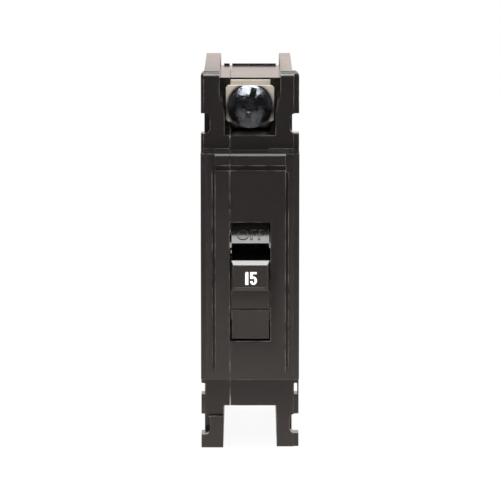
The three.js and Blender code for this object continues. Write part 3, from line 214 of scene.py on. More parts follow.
def patterned(
    name, dark, pale, grain, roughness, bump, stretch=(1, 1, 1), edge_highlight_and_wear=None, shade_reach=None, **surface
):
    """A finish whose colour and roughness wander by a grain, with a bump of the same grain.

    dark and pale are linear colours, grain and bump are sizes in metres, and roughness is a
    pair. rub holds the settings of the paler edge lines, painted highlight that partly stands
    for wear, and soil the reach of the painted shade near other surfaces, where the finish
    has them. What is left goes to the shader.
    """
    material, tree, output = new_material(name)
    place = add_node(tree, "ShaderNodeTexCoord")
    mapped = add_node(
        tree,
        "ShaderNodeMapping",
        values={"Scale": stretch},
        links={"Vector": place.outputs["Object"]},
    )
    cloud = add_node(
        tree,
        "ShaderNodeTexNoise",
        values={"Scale": per(grain), "Detail": 5, "Roughness": 0.6},
        links={"Vector": mapped.outputs["Vector"]},
    )
    broad = add_node(
        tree,
        "ShaderNodeTexNoise",
        values={"Scale": per(grain * BROAD_RATIO), "Detail": 2},
        links={"Vector": mapped.outputs["Vector"]},
    )
    broad_share = add_node(
        tree,
        "ShaderNodeMath",
        settings={"operation": "MULTIPLY"},
        values={1: 1 - FINE_SHARE},
        links={0: broad.outputs["Fac"]},
    )
    share = add_node(
        tree,
        "ShaderNodeMath",
        settings={"operation": "MULTIPLY_ADD"},
        values={1: FINE_SHARE},
        links={0: cloud.outputs["Fac"], 2: broad_share.outputs[0]},
    )
    colour = add_node(
        tree,
        "ShaderNodeMix",
        settings={"data_type": "RGBA"},
        values={MIX_FIRST: opaque(dark), MIX_SECOND: opaque(pale)},
        links={0: share.outputs[0]},
    )
    rough = add_node(
        tree,
        "ShaderNodeMapRange",
        values={"From Min": 0.3, "From Max": 0.7, "To Min": roughness[0], "To Max": roughness[1]},
        links={"Value": share.outputs[0]},
    )
    colour_end = colour.outputs[MIX_RESULT]
    # Paler outer edges: painted highlight, partly wear
    if edge_highlight_and_wear:
        colour_end = worn_and_highlit_edges(tree, colour_end, place.outputs["Object"], **edge_highlight_and_wear)
    # Darker near other surfaces: painted shade
    if shade_reach:
        colour_end = painted_shade_corners(tree, colour_end, shade_reach)
    relief = add_node(
        tree,
        "ShaderNodeBump",
        values={"Strength": 1, "Distance": bump},
        links={"Height": cloud.outputs["Fac"]},
    )
    shader = add_node(
        tree,
        "ShaderNodeBsdfPrincipled",
        values=surface,
        links={
            "Base Color": colour_end,
            "Roughness": rough.outputs["Result"],
            "Normal": relief.outputs["Normal"],
        },
    )
    tree.links.new(shader.outputs["BSDF"], output.inputs["Surface"])
    return material


def length_setting(name, description, default):
    """A setting of a small length in metres."""
    return FloatProperty(
        name=name,
        description=description,
        default=default,
        unit="LENGTH",
        precision=5,
    )


class BreakerSizes(bpy.types.PropertyGroup):
    """Sizes of the details that this file adds."""

    case_edge: length_setting("Case edge", "Rounding of the moulded case's edges", 0.22 * MM)
    handle_edge: length_setting("Handle edge", "Rounding of the handle's edges", 0.2 * MM)
    metal_edge: length_setting("Metal edge", "Rounding of stamped metal edges", 0.12 * MM)
    rim_width: length_setting(
        "Rim width", "Width of the raised rim round the handle's face", 0.38 * MM
    )
    rim_height: length_setting("Rim height", "Height of the rim over the handle's face", 0.09 * MM)
    legend_height: length_setting(
        "Legend height", "Height of the raised words on the handle's drum", 2.85 * MM
    )
    legend_relief: length_setting(
        "Legend relief", "How far the words stand above the drum", 0.3 * MM
    )
    number_height: length_setting("Number height", "Height of the printed number", 3.35 * MM)
    thread_pitch: length_setting(
        "Thread pitch", "Advance of the terminal screw in one turn", 0.794 * MM
    )


def colour_setting(name, description, code):
    """A colour setting whose default is an sRGB hex value."""
    return FloatVectorProperty(
        name=name,
        description=description,
        default=linear(code),
        min=0,
        max=1,
        size=3,
        subtype="COLOR",
    )


class BreakerColours(bpy.types.PropertyGroup):
    """Main colours of the finishes."""

    case: colour_setting("Case", "Black moulding compound", "#1c1918")
    handle: colour_setting("Handle", "Black of the handle", "#22201e")
    ink: colour_setting("Ink", "Printed number", "#f6f5f2")
    tin: colour_setting("Tin plate", "Warm white plating of strap and clamp", "#faf2e6")
    zinc: colour_setting("Bright zinc", "Plating of the terminal screw", "#84888e")
    copper: colour_setting("Copper", "Current-carrying strap and arm", "#b8714b")
    fibre: colour_setting("Fibre", "Vulcanised fibre sheet", "#8a4631")


def sizes():
    """The scene's sizes of details."""
    return bpy.context.scene.breaker_sizes


def colours():
    """The scene's colours of finishes."""
    return bpy.context.scene.breaker_colours


# Finishes, each made once


def shade(colour, factor):
    """A colour made darker or lighter by a factor."""
    return tuple(min(1, channel * factor) for channel in colour)


def moulded_phenolic():
    """Compression-moulded phenolic: semi-gloss black with a faint mineral mottle in the skin."""
    base = tuple(colours().case)
    return patterned(
        "moulded phenolic",
        shade(base, 0.8),
        shade(base, 1.25),
        grain=0.5 * MM,
        roughness=(0.21, 0.27),
        bump=0.0012 * MM,
        # Paler edge lines: painted highlight on outer edges, partly wear
        edge_highlight_and_wear={"highlight_and_wear": linear("#a59c94"), "width": 0.35 * MM, "patch": 4 * MM, "most": 0.4},
        IOR=1.55,
        **{"Coat Weight": 0.5, "Coat Roughness": 0.12, "Coat IOR": 1.5},
    )


def moulded_nylon():
    """Injection-moulded nylon: a touch smoother and blacker than the case."""
    base = tuple(colours().handle)
    return patterned(
        "moulded nylon",
        shade(base, 0.85),
        shade(base, 1.2),
        grain=0.4 * MM,
        roughness=(0.07, 0.11),
        bump=0.0005 * MM,
        # Paler edge lines: painted highlight on outer edges, partly wear
        edge_highlight_and_wear={"highlight_and_wear": linear("#a39b93"), "width": 0.3 * MM, "patch": 3 * MM, "most": 0.3},
        IOR=1.6,
    )


def printed_ink():
    """Pad-printed white ink: flat, with tiny thin spots from the pad."""
    base = tuple(colours().ink)
    return patterned(
        "pad-printed ink",
        shade(base, 0.92),
        base,
        grain=0.12 * MM,
        roughness=(0.45, 0.6),
        bump=0.001 * MM,
    )


def bright_zinc():
    """Bright zinc plating: cold mirror-like steel, scuffed by the driver."""
    base = tuple(colours().zinc)
    return patterned(
        "bright zinc plating",
        shade(base, 0.25),
        shade(base, 1.5),
        grain=1.1 * MM,
        roughness=(0.05, 0.16),
        bump=0.12 * MM,
        Metallic=1,
    )


def plain_zinc():
    """Clear zinc on rivets and pins: paler, satin."""
    base = linear("#d6dade")
    return patterned(
        "clear zinc plating",
        shade(base, 0.5),
        shade(base, 0.8),
        grain=0.3 * MM,
        roughness=(0.25, 0.4),
        bump=0.003 * MM,
        Metallic=1,
    )


def tin_plate(name="tin plated steel", shade_reach=1.2 * MM):
    """Tin over stamped steel: warm white, matt, drawn out a little along the strip.

    Painted shade darkens it where other pieces stand closer than soil.
    """
    base = tuple(colours().tin)
    return patterned(
        name,
        shade(base, 0.8),
        base,
        grain=0.25 * MM,
        roughness=(0.62, 0.85),
        bump=0.006 * MM,
        stretch=(1, 1, 0.25),
        shade_reach=shade_reach,
        Metallic=1,
    )


def deep_shaded_tin_plate():
    """The same plating with deeper painted shade, for the pieces deep in the recess."""
    return tin_plate("tin plated steel in deep painted shade", shade_reach=3.2 * MM)


def rolled_copper():
    """Rolled copper: pinkish, with browner oxide where it was handled."""
    base = tuple(colours().copper)
    return patterned(
        "rolled copper",
        shade(base, 0.5),
        base,
        grain=0.4 * MM,
        roughness=(0.28, 0.45),
        bump=0.003 * MM,
        Metallic=1,
    )


def contact_silver():
    """Silver and cadmium oxide contact: white, matt from coining."""
    base = linear("#d9d8d4")
    return patterned(
        "contact silver",
        shade(base, 0.75),
        base,
        grain=0.2 * MM,
        roughness=(0.3, 0.5),
        bump=0.004 * MM,
        Metallic=1,
    )


def spring_steel():
    """Drawn spring wire and blued strip: grey with fine drawing lines."""
    base = linear("#8f9296")
    return patterned(
        "spring steel",
        shade(base, 0.6),
        base,
        grain=0.2 * MM,
        roughness=(0.22, 0.36),
        bump=0.002 * MM,
        Metallic=1,
    )


def soft_iron():
    """Stamped soft iron with thin plating: dull grey with a slight grain."""
    base = linear("#7b7d80")
    return patterned(
        "stamped soft iron",
        shade(base, 0.55),
        base,
        grain=0.35 * MM,
        roughness=(0.35, 0.55),
        bump=0.004 * MM,
        Metallic=1,
    )


def rolled_bimetal():
    """Rolled bimetal strip: straw-coloured, streaked along its length."""
    base = linear("#b59a63")
    return patterned(
        "rolled bimetal",
        shade(base, 0.65),
        base,
        grain=0.3 * MM,
        roughness=(0.28, 0.42),
        bump=0.003 * MM,
        stretch=(1, 1, 0.1),
        Metallic=1,
    )


def vulcanised_fibre():
    """Vulcanised fibre: red-brown board, matt, with short paper fibres."""
    base = tuple(colours().fibre)
    return patterned(
        "vulcanised fibre",
        shade(base, 0.7),
        shade(base, 1.2),
        grain=0.3 * MM,
        roughness=(0.6, 0.8),
        bump=0.012 * MM,
        stretch=(1, 0.3, 1),
    )


FINISHES = {
    "moulded_case": moulded_phenolic,
    "handle_plastic": moulded_nylon,
    "ink": printed_ink,
    "screw_steel": bright_zinc,
    "zinc_steel": plain_zinc,
    "tin_plate": tin_plate,
    "deep_shaded_tin_plate": deep_shaded_tin_plate,
    "copper": rolled_copper,
    "silver": contact_silver,
    "spring_steel": spring_steel,
    "bimetal": rolled_bimetal,
    "magnet_steel": soft_iron,
    "vulcanised_fibre": vulcanised_fibre,
}
made = {}


def finish_for(key):
    """The finish of that key, made the first time it is asked for."""
    if key not in made:
        made[key] = FINISHES[key]()
    return made[key]


# Modelling steps shared by the pieces


def only(piece):
    """Leaves one object selected and active, in object mode."""
    active = bpy.context.object
    if active and active.mode != "OBJECT":
        bpy.ops.object.mode_set(mode="OBJECT")
    bpy.ops.object.select_all(action="DESELECT")
    piece.select_set(True)
    bpy.context.view_layer.objects.active = piece


def settle(piece):
    """Puts a piece's place into its mesh."""
    only(piece)
    bpy.ops.object.transform_apply(location=True, rotation=True, scale=True)


def copy_of(node, name):
    """A merged copy of a CAD node's mesh with its flat faces whole again."""
    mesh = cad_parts[node].data.copy()
    mesh.name = name
    mesh.materials.clear()
    piece = bpy.data.objects.new(name, mesh)
    bpy.context.scene.collection.objects.link(piece)
    only(piece)
    if mesh.has_custom_normals:
        bpy.ops.mesh.customdata_custom_splitnormals_clear()
    bpy.ops.object.mode_set(mode="EDIT")
    bpy.ops.mesh.select_all(action="SELECT")
    bpy.ops.mesh.remove_doubles(threshold=MERGE)
    bpy.ops.mesh.dissolve_limited(angle_limit=FLAT)
    bpy.ops.object.mode_set(mode="OBJECT")
    return piece


def bevel_edges(piece, width, segments, **limit):
    """Rounds the edges that the limit picks and keeps the flats between them flat."""
    bevel = piece.modifiers.new("edge rounding", "BEVEL")
    bevel.width = width
    bevel.segments = segments
    bevel.harden_normals = True
    bevel.use_clamp_overlap = True
    for name, value in limit.items():
        setattr(bevel, name, value)
    bpy.ops.object.modifier_apply(modifier=bevel.name)


def round_moulding(piece, width, share, fine):
    """Rounds a moulding's sharp edges, those whose ends are all fine by a share of the width."""
    only(piece)
    bpy.ops.object.shade_smooth()
    bpy.ops.object.mode_set(mode="EDIT")
    bpy.ops.mesh.select_mode(type="EDGE")
    bpy.ops.mesh.select_all(action="DESELECT")
    bpy.ops.mesh.edges_select_sharp(sharpness=SHARP)
    bpy.ops.object.mode_set(mode="OBJECT")
    mesh = piece.data
    weights = mesh.attributes.new("bevel_weight_edge", "FLOAT", "EDGE")
    for edge in mesh.edges:
        if edge.select:
            ends = [mesh.vertices[index].co for index in edge.vertices]
            weights.data[edge.index].value = share if all(map(fine, ends)) else 1
    bevel_edges(piece, width, 2, limit_method="WEIGHT")


def round_edges(piece, width, segments=2):
    """Rounds every sharp edge of a piece."""
    only(piece)
    bpy.ops.object.shade_smooth()
    bevel_edges(piece, width, segments, limit_method="ANGLE", angle_limit=SHARP)


def dress(piece, body, slot, *nodes, finish=None):
    """Gives a finished piece its finish, its body and the CAD nodes that it stands for."""
    piece.data.materials.clear()
    piece.data.materials.append(finish_for(finish or slot))
    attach(piece, body)
    if nodes:
        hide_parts(*nodes)


def rounded_node(node, body, slot, width, segments=2, finish=None):
    """Makes a CAD node's piece with its edges rounded."""
    piece = copy_of(node, f"{node}_piece")
    round_edges(piece, width, segments)
    dress(piece, body, slot, node, finish=finish)


def select_faces(piece, wanted):
    """Selects the faces that the test accepts and enters edit mode."""
    only(piece)
    bpy.ops.object.mode_set(mode="EDIT")
    bpy.ops.mesh.select_all(action="DESELECT")
    bpy.ops.mesh.select_mode(type="FACE")
    bpy.ops.object.mode_set(mode="OBJECT")
    for face in piece.data.polygons:
        face.select = wanted(face)
    bpy.ops.object.mode_set(mode="EDIT")


def raised_word(word, name, height, relief, centre_angle):
    """A word in relief, bent round the handle's drum and centred at an angle above level."""
    bpy.ops.object.select_all(action="DESELECT")
    bpy.ops.object.text_add(location=(0, 0, 0))
    piece = bpy.context.object
    piece.name = name
    text = piece.data
    text.body = word
    text.align_x = "CENTER"
    text.align_y = "CENTER"
    text.size = height / CAPITALS
    text.offset = -relief / 4
    text.space_character = 1.02
    text.resolution_u = 4
    text.extrude = relief / 2
    text.bevel_depth = relief / 2
    text.bevel_resolution = 1
    bpy.ops.object.convert(target="MESH")
    piece = bpy.context.object
    piece.data.name = name
    bpy.ops.object.mode_set(mode="EDIT")
    bpy.ops.mesh.select_all(action="SELECT")
    bpy.ops.mesh.remove_doubles(threshold=MERGE)
    # Cuts across the letters let them bend with the drum
    for share in (-0.3, -0.1, 0.1, 0.3):
        bpy.ops.mesh.select_all(action="SELECT")
        bpy.ops.mesh.bisect(plane_co=(0, height * share, 0), plane_no=(0, 1, 0))
    bpy.ops.object.mode_set(mode="OBJECT")
    for vertex in piece.data.vertices:
        across, up, out = vertex.co
        angle = math.radians(centre_angle) + up / DRUM_RADIUS
        radius = DRUM_RADIUS + out
        vertex.co = PIVOT + Vector((across, -radius * math.cos(angle), radius * math.sin(angle)))
    return piece


def ellipse(centre, radii, start, end, steps):
    """Points on an ellipse from one angle to another."""
    points = []
    for step in range(steps + 1):
        angle = math.radians(start + (end - start) * step / steps)
        across = centre[0] + radii[0] * math.cos(angle)
        up = centre[1] + radii[1] * math.sin(angle)
        points.append((across, up))
    return points


def digit_one():
    """Outline of a plain upright one in a unit box."""
    return [(0.08, 0), (1, 0), (1, 1), (0.3, 1), (0, 0.86), (0.08, 0.8)]


def digit_five():
    """Outline of a heavy narrow five in a unit box."""
    bowl = (0.5, 0.33)
    outer = ellipse(bowl, (0.5, 0.33), 112, -172, 22)
    inner = ellipse(bowl, (0.14, 0.185), -172, 128, 18)
    return [
        (0.04, 1),
        (0.94, 1),
        (0.94, 0.84),
        (0.4, 0.84),
        (0.385, 0.62),
        *outer,
        *inner,
        (0.02, 0.47),
    ]


def meshed_curve(name, lines, closed, **settings):
    """The mesh of a curve that has the settings and runs straight from point to point."""
    data = bpy.data.curves.new(name, "CURVE")
    for key, value in settings.items():
        setattr(data, key, value)
    for line in lines:
        spline = data.splines.new("POLY")
        spline.points.add(len(line) - 1)
        for point, place in zip(spline.points, line):
            point.co = (*place, 1)
        spline.use_cyclic_u = closed
    piece = bpy.data.objects.new(name, data)
    bpy.context.scene.collection.objects.link(piece)
    only(piece)
    bpy.ops.object.convert(target="MESH")
    piece = bpy.context.object
    piece.data.name = name
    return piece


def printed_number(name, glyphs, height, gap, thickness, centre, lean):
    """Flat printed figures side by side, on a face that looks along -Y and leans down a little."""
    left = -(sum(width for _, width in glyphs) + gap * (len(glyphs) - 1)) / 2
    lines = []
    for outline, width in glyphs:
        lines.append([(left + across * width, (up - 0.5) * height, 0) for across, up in outline])
        left += width + gap
    ink = {"fill_mode": "BOTH", "extrude": thickness / 2}
    piece = meshed_curve(name, lines, closed=True, dimensions="2D", **ink)
    piece.rotation_euler = (math.pi / 2 + lean, 0, 0)
    piece.location = centre
    settle(piece)
    return piece


def round_wire(name, lines, radius):
    """Round wire with closed ends along each line of points."""
    wire = {"bevel_depth": radius, "bevel_resolution": 2, "use_fill_caps": True}
    piece = meshed_curve(name, lines, closed=False, dimensions="3D", **wire)
    bpy.ops.object.shade_smooth_by_angle(angle=SHARP)
    return piece


def smooth_line(places, steps):
    """Points on a smooth curve through the given places."""
    ends = [2 * places[0] - places[1], *places, 2 * places[-1] - places[-2]]
    points = []
    for index in range(1, len(ends) - 2):
        before, start, end, after = ends[index - 1 : index + 3]
        for step in range(steps):
            share = step / steps
            points.append(
                0.5
                * (
                    2 * start
                    + (end - before) * share
                    + (2 * before - 5 * start + 4 * end - after) * share**2
                    + (3 * start - before - 3 * end + after) * share**3
                )
            )
    return [*points, places[-1]]


def coil_line(top, bottom, radius, turns, leg, steps):
    """Centre line of a coil spring with a straight leg at either end."""
    length = (bottom - top).length
    points = [top]
    for step in range(turns * steps + 1):
        share = step / (turns * steps)
        angle = share * turns * 2 * math.pi
        out = radius * min(1, min(share, 1 - share) * turns)
        centre = top.lerp(bottom, (leg + share * (length - 2 * leg)) / length)
        points.append(centre + Vector((out * math.cos(angle), out * math.sin(angle), 0)))
    return [*points, bottom]


def strands(line, count, radius, turns):
    """Lines that wind round a middle line, evenly spread."""
    wound = []
    for index in range(count):
        points = []
        for step, place in enumerate(line):
            ahead = line[min(step + 1, len(line) - 1)] - line[max(step - 1, 0)]
            side = ahead.cross(Vector((1, 0, 0))).normalized()
            other = ahead.cross(side).normalized()
            angle = 2 * math.pi * (index / count + turns * step / (len(line) - 1))
            points.append(place + radius * (math.cos(angle) * side + math.sin(angle) * other))
        wound.append(points)
    return wound


def subtract(piece, cutter):
    """Cuts one object out of another and removes the cutter."""
    only(piece)
    boolean = piece.modifiers.new("recess", "BOOLEAN")
    boolean.operation = "DIFFERENCE"
    boolean.solver = "EXACT"
    boolean.object = cutter
    bpy.ops.object.modifier_apply(modifier=boolean.name)
    bpy.data.objects.remove(cutter)


def slot_cutter(length, width, floor, high, floor_share):
    """A bar whose floor has that share of its top's length and width."""
    bpy.ops.object.select_all(action="DESELECT")
    bpy.ops.mesh.primitive_cube_add(size=1, location=(0, 0, (floor + high) / 2))
    cutter = bpy.context.object
    cutter.scale = (width, length, high - floor)
    settle(cutter)
    select_faces(cutter, lambda face: face.normal.z < -FACING)
    bpy.ops.transform.resize(value=(floor_share, floor_share, 1))
    bpy.ops.object.mode_set(mode="OBJECT")
    return cutter


def domed_head(radius, edge, dome, sides, rings):
    """A round screw head on its flat base, its top drawn up ring by ring to a shallow dome."""
    bpy.ops.object.select_all(action="DESELECT")
    bpy.ops.mesh.primitive_cylinder_add(
        vertices=sides, radius=radius, depth=edge, end_fill_type="NGON", location=(0, 0, edge / 2)
    )
    head = bpy.context.object
    settle(head)
    ball = (radius**2 + dome**2) / (2 * dome)
    select_faces(head, lambda face: face.normal.z > FACING)
    reach, height = radius, 0
    for ring in range(1, rings):
        inner = radius * (1 - ring / rings)
        rise = math.sqrt(ball**2 - inner**2) - (ball - dome)
        bpy.ops.mesh.inset(thickness=reach - inner, depth=rise - height)
        reach, height = inner, rise
    bpy.ops.object.mode_set(mode="OBJECT")
    return head


def pointed_core(radius, length, sides):
    """The round core of a screw, hanging down from the origin, with a pointed tip."""
    tip_share = 0.75
    tip_rise = 0.3 * radius
    bpy.ops.object.select_all(action="DESELECT")
    bpy.ops.mesh.primitive_cylinder_add(
        vertices=sides,
        radius=radius,
        depth=length,
        end_fill_type="NGON",
        location=(0, 0, -length / 2),
    )
    core = bpy.context.object
    settle(core)
    select_faces(core, lambda face: face.normal.z < -FACING)
    middle_of_side = radius * math.cos(math.pi / sides)
    bpy.ops.mesh.inset(thickness=(1 - tip_share) * middle_of_side, depth=0)
    bpy.ops.object.mode_set(mode="OBJECT")
    between = (1 + tip_share) / 2 * radius
    for vertex in core.data.vertices:
        if vertex.co.xy.length > between and vertex.co.z < -length / 2:
            vertex.co.z += tip_rise
    return core


def thread_round(major, minor, length, pitch, steps):
    """A raised thread with closed ends round a core of the minor radius."""
    foot = minor * 0.97
    foot_width = 0.98 * pitch
    plain_end = 0.6 * minor
    end_gap = 0.05 * pitch
    turns = int((length - plain_end) / pitch)
    bpy.ops.mesh.primitive_circle_add(vertices=3, radius=pitch, fill_type="NOTHING")
    thread = bpy.context.object
    profile = ((foot, 0), (major, 0.5 * pitch), (foot, foot_width))
    for vertex, (out, up) in zip(thread.data.vertices, profile):
        vertex.co = (out, 0, up - turns * pitch - end_gap)
    winding = thread.modifiers.new("thread", "SCREW")
    winding.angle = 2 * math.pi
    winding.screw_offset = pitch
    winding.iterations = turns - 1
    winding.steps = steps
    winding.render_steps = steps
    only(thread)
    bpy.ops.object.modifier_apply(modifier=winding.name)
    bpy.ops.object.mode_set(mode="EDIT")
    bpy.ops.mesh.select_all(action="SELECT")
    bpy.ops.mesh.fill_holes(sides=3)
    bpy.ops.mesh.select_all(action="SELECT")
    bpy.ops.mesh.normals_make_consistent(inside=False)
    bpy.ops.object.mode_set(mode="OBJECT")
    return thread


def joined(piece, *others):
    """Joins other objects into a piece."""
    only(piece)
    for other in others:
        other.select_set(True)
    bpy.ops.object.join()
    return piece


class BREAKER_OT_case(bpy.types.Operator):
    """Base and cover mouldings with their edges rounded"""

    bl_idname = "breaker.case"
    bl_label = "Case"

    # Edges within this reach of the parting line are rounded by this share of the rest
    parting_reach = 0.2 * MM
    parting_share = 0.2

    def on_parting_line(self, place):
        return abs(place.x - PARTING) < self.parting_reach

    def execute(self, context):
        for node in ("base", "cover"):
            piece = copy_of(node, f"{node}_piece")
            round_moulding(piece, sizes().case_edge, self.parting_share, self.on_parting_line)
            dress(piece, "housing", "moulded_case", node)
        return {"FINISHED"}


class BREAKER_OT_rivets(bpy.types.Operator):
    """Tubular rivets with rolled heads"""

    bl_idname = "breaker.rivets"
    bl_label = "Rivets"

    count = 4
    rounding = 0.3 * MM
    segments = 3

    def execute(self, context):
        for index in range(1, self.count + 1):
            rounded_node(
                f"rivet_{index}", "housing", "zinc_steel", self.rounding, self.segments
            )
        return {"FINISHED"}


class BREAKER_OT_handle(bpy.types.Operator):
    """Handle with a raised rim round the face of its nub"""

    bl_idname = "breaker.handle"
    bl_label = "Handle"

    # The rim's inner edge is rounded by this share of the rest
    rim_share = 0.1
    # The nub's face looks forward with at least this share of its normal
    face_facing = 0.99

    def on_nub_face(self, face):
        return face.normal.y < -self.face_facing and face.center.y < NUB_FACE + NUB_LEAN

    def on_inner_rim(self, place):
        inside = abs(place.x - MIDDLE) < NUB_FACE_HALF_WIDTH - sizes().rim_width / 2
        return inside and place.y < RIM_REAR

    def reshape(self, piece):
        """Leans the nub's foot back and fills the steps beside the pad."""
        for vertex in piece.data.vertices:
            place = vertex.co
            side = abs(place.x - MIDDLE)
            if place.y < NUB_FOOT_DEPTH and place.z < NUB_FOOT_TOP:
                place.y += NUB_LEAN
            elif PAD_LOW < place.z < PAD_HIGH and place.y < PAD_REAR:
                if side > PAD_HALF_WIDTH:
                    place.y -= PAD_FILL
                elif side > PAD_HALF_WIDTH - PAD_FILL:
                    place.x += math.copysign(PAD_FILL, place.x - MIDDLE)

    def execute(self, context):
        piece = copy_of("handle", "handle_piece")
        self.reshape(piece)
        select_faces(piece, self.on_nub_face)
        bpy.ops.mesh.inset(thickness=sizes().rim_width, depth=0)
        bpy.ops.mesh.inset(thickness=sizes().rim_height, depth=-sizes().rim_height)
        bpy.ops.object.mode_set(mode="OBJECT")
        round_moulding(piece, sizes().handle_edge, self.rim_share, self.on_inner_rim)
        dress(piece, "handle", "handle_plastic", "handle")
        return {"FINISHED"}


class BREAKER_OT_legends(bpy.types.Operator):
    """Raised words on the drum and the printed number on the nub"""

    bl_idname = "breaker.legends"
    bl_label = "Legends"

    # Angle of each word above level, in degrees
    words = (("OFF", 28.6), ("ON", -41.5))
    # Widths of the figures and of the gap between them, against their height
    one_width = 0.26
    five_width = 0.54
    figure_gap = 0.12
    ink_thickness = 0.06 * MM
    number_place = 0.25 * MM
    number_level = 46.85 * MM

    def execute(self, context):
        height = sizes().legend_height
        relief = sizes().legend_relief
        for word, angle in self.words:
            piece = raised_word(word, f"legend_{word.lower()}", height, relief, angle)
            dress(piece, "handle", "handle_plastic")
        tall = sizes().number_height
        glyphs = [(digit_one(), tall * self.one_width), (digit_five(), tall * self.five_width)]
        gap = tall * self.figure_gap
        lean = NUB_LEAN / (NUB_TOP - NUB_FOOT_TOP)
        face = NUB_FACE + sizes().rim_height + lean * (NUB_TOP - self.number_level)
        centre = (self.number_place, face, self.number_level)
        number = printed_number(
            "number_15", glyphs, tall, gap, self.ink_thickness, centre, lean
        )
        dress(number, "handle", "handle_plastic", finish="ink")
        return {"FINISHED"}


class BREAKER_OT_terminal(bpy.types.Operator):
    """Load strap, clamp plate and terminal screw"""

    bl_idname = "breaker.terminal"
    bl_label = "Terminal"

    head_radius = 5.6 * MM
    head_edge = 1.1 * MM
    head_dome = 1.7 * MM
    head_sides = 72
    head_rings = 14
    slot_width = 1.6 * MM
    slot_depth = 1.3 * MM
    # The slot and the two arms of the cross recess: length, width, depth and the floor's share
    cuts = (
        (2.2 * head_radius, slot_width, slot_depth, 1),
        (0.9 * head_radius, slot_width, 1.5 * slot_depth, 0.55),
        (slot_width, 0.95 * head_radius, 1.4 * slot_depth, 0.55),
    )
    cutter_rise = 1 * MM
    thread_radius = 2.4 * MM
    core_radius = 0.8 * thread_radius
    shank = 10.8 * MM
    shank_sides = 32
    thread_steps = 24
    tilt = math.radians(13)

    def execute(self, context):
        edge = sizes().metal_edge
        # The strap takes the deeper painted shade of the recess; the clamp plate's painted shade
        # rings the screw head
        rounded_node("load_strap", "housing", "tin_plate", edge, finish="deep_shaded_tin_plate")
        rounded_node("clamp_plate", "clamp_plate", "tin_plate", edge * 2)
        head = domed_head(
            self.head_radius, self.head_edge, self.head_dome, self.head_sides, self.head_rings
        )
        top = self.head_edge + self.head_dome
        for length, width, depth, floor_share in self.cuts:
            cutter = slot_cutter(length, width, top - depth, top + self.cutter_rise, floor_share)
            subtract(head, cutter)
        round_edges(head, edge)
        core = pointed_core(self.core_radius, self.shank, self.shank_sides)
        thread = thread_round(
            self.thread_radius,
            self.core_radius,
            self.shank,
            sizes().thread_pitch,
            self.thread_steps,
        )
        for part in (core, thread):
            only(part)
            bpy.ops.object.shade_smooth_by_angle(angle=SHARP)
        screw = joined(head, core, thread)
        screw.name = screw.data.name = "terminal_screw_piece"
        forward = Matrix.Rotation(math.pi / 2, 3, "X")
        screw.rotation_euler = (Matrix.Rotation(self.tilt, 3, "Y") @ forward).to_euler()
        screw.location = SCREW_PLACE
        settle(screw)
        dress(screw, "terminal_screw", "screw_steel", "terminal_screw")
        return {"FINISHED"}


class BREAKER_OT_line_side(bpy.types.Operator):
    """Line strap, stab jaw and its clip"""

    bl_idname = "breaker.line_side"
    bl_label = "Line side"

    def execute(self, context):
        edge = sizes().metal_edge
        rounded_node("line_strap", "housing", "copper", edge)
        rounded_node("line_jaw_left", "housing", "copper", edge)
        rounded_node("line_jaw_right", "housing", "copper", edge)
        rounded_node("jaw_clip", "housing", "spring_steel", edge)
        rounded_node("stationary_contact", "housing", "silver", edge * 2)
        return {"FINISHED"}


class BREAKER_OT_mechanism(bpy.types.Operator):
    """Contact arm, cradle and trip unit"""

    bl_idname = "breaker.mechanism"
    bl_label = "Mechanism"

    def execute(self, context):
        edge = sizes().metal_edge
        rounded_node("contact_arm", "contact_arm", "copper", edge)
        rounded_node("moving_contact", "contact_arm", "silver", edge * 2)
        rounded_node("cradle", "cradle", "magnet_steel", edge)
        rounded_node("cradle_pin", "housing", "zinc_steel", edge)
        rounded_node("armature", "armature", "magnet_steel", edge)
        rounded_node("armature_spring", "housing", "spring_steel", edge / 2)
        rounded_node("magnet_yoke", "housing", "magnet_steel", edge)
        rounded_node("bimetal", "housing", "bimetal", edge)
        rounded_node("calibration_screw", "housing", "zinc_steel", edge)
        return {"FINISHED"}


class BREAKER_OT_arc_chute(bpy.types.Operator):
    """Arc plates, their fibre sides and the vent baffle"""

    bl_idname = "breaker.arc_chute"
    bl_label = "Arc chute"

    plates = 5

    def execute(self, context):
        edge = sizes().metal_edge
        for index in range(1, self.plates + 1):
            rounded_node(f"arc_plate_{index}", "housing", "magnet_steel", edge)
        for node in ("arc_side_left", "arc_side_right", "vent_baffle"):
            rounded_node(node, "housing", "vulcanised_fibre", edge)
        return {"FINISHED"}


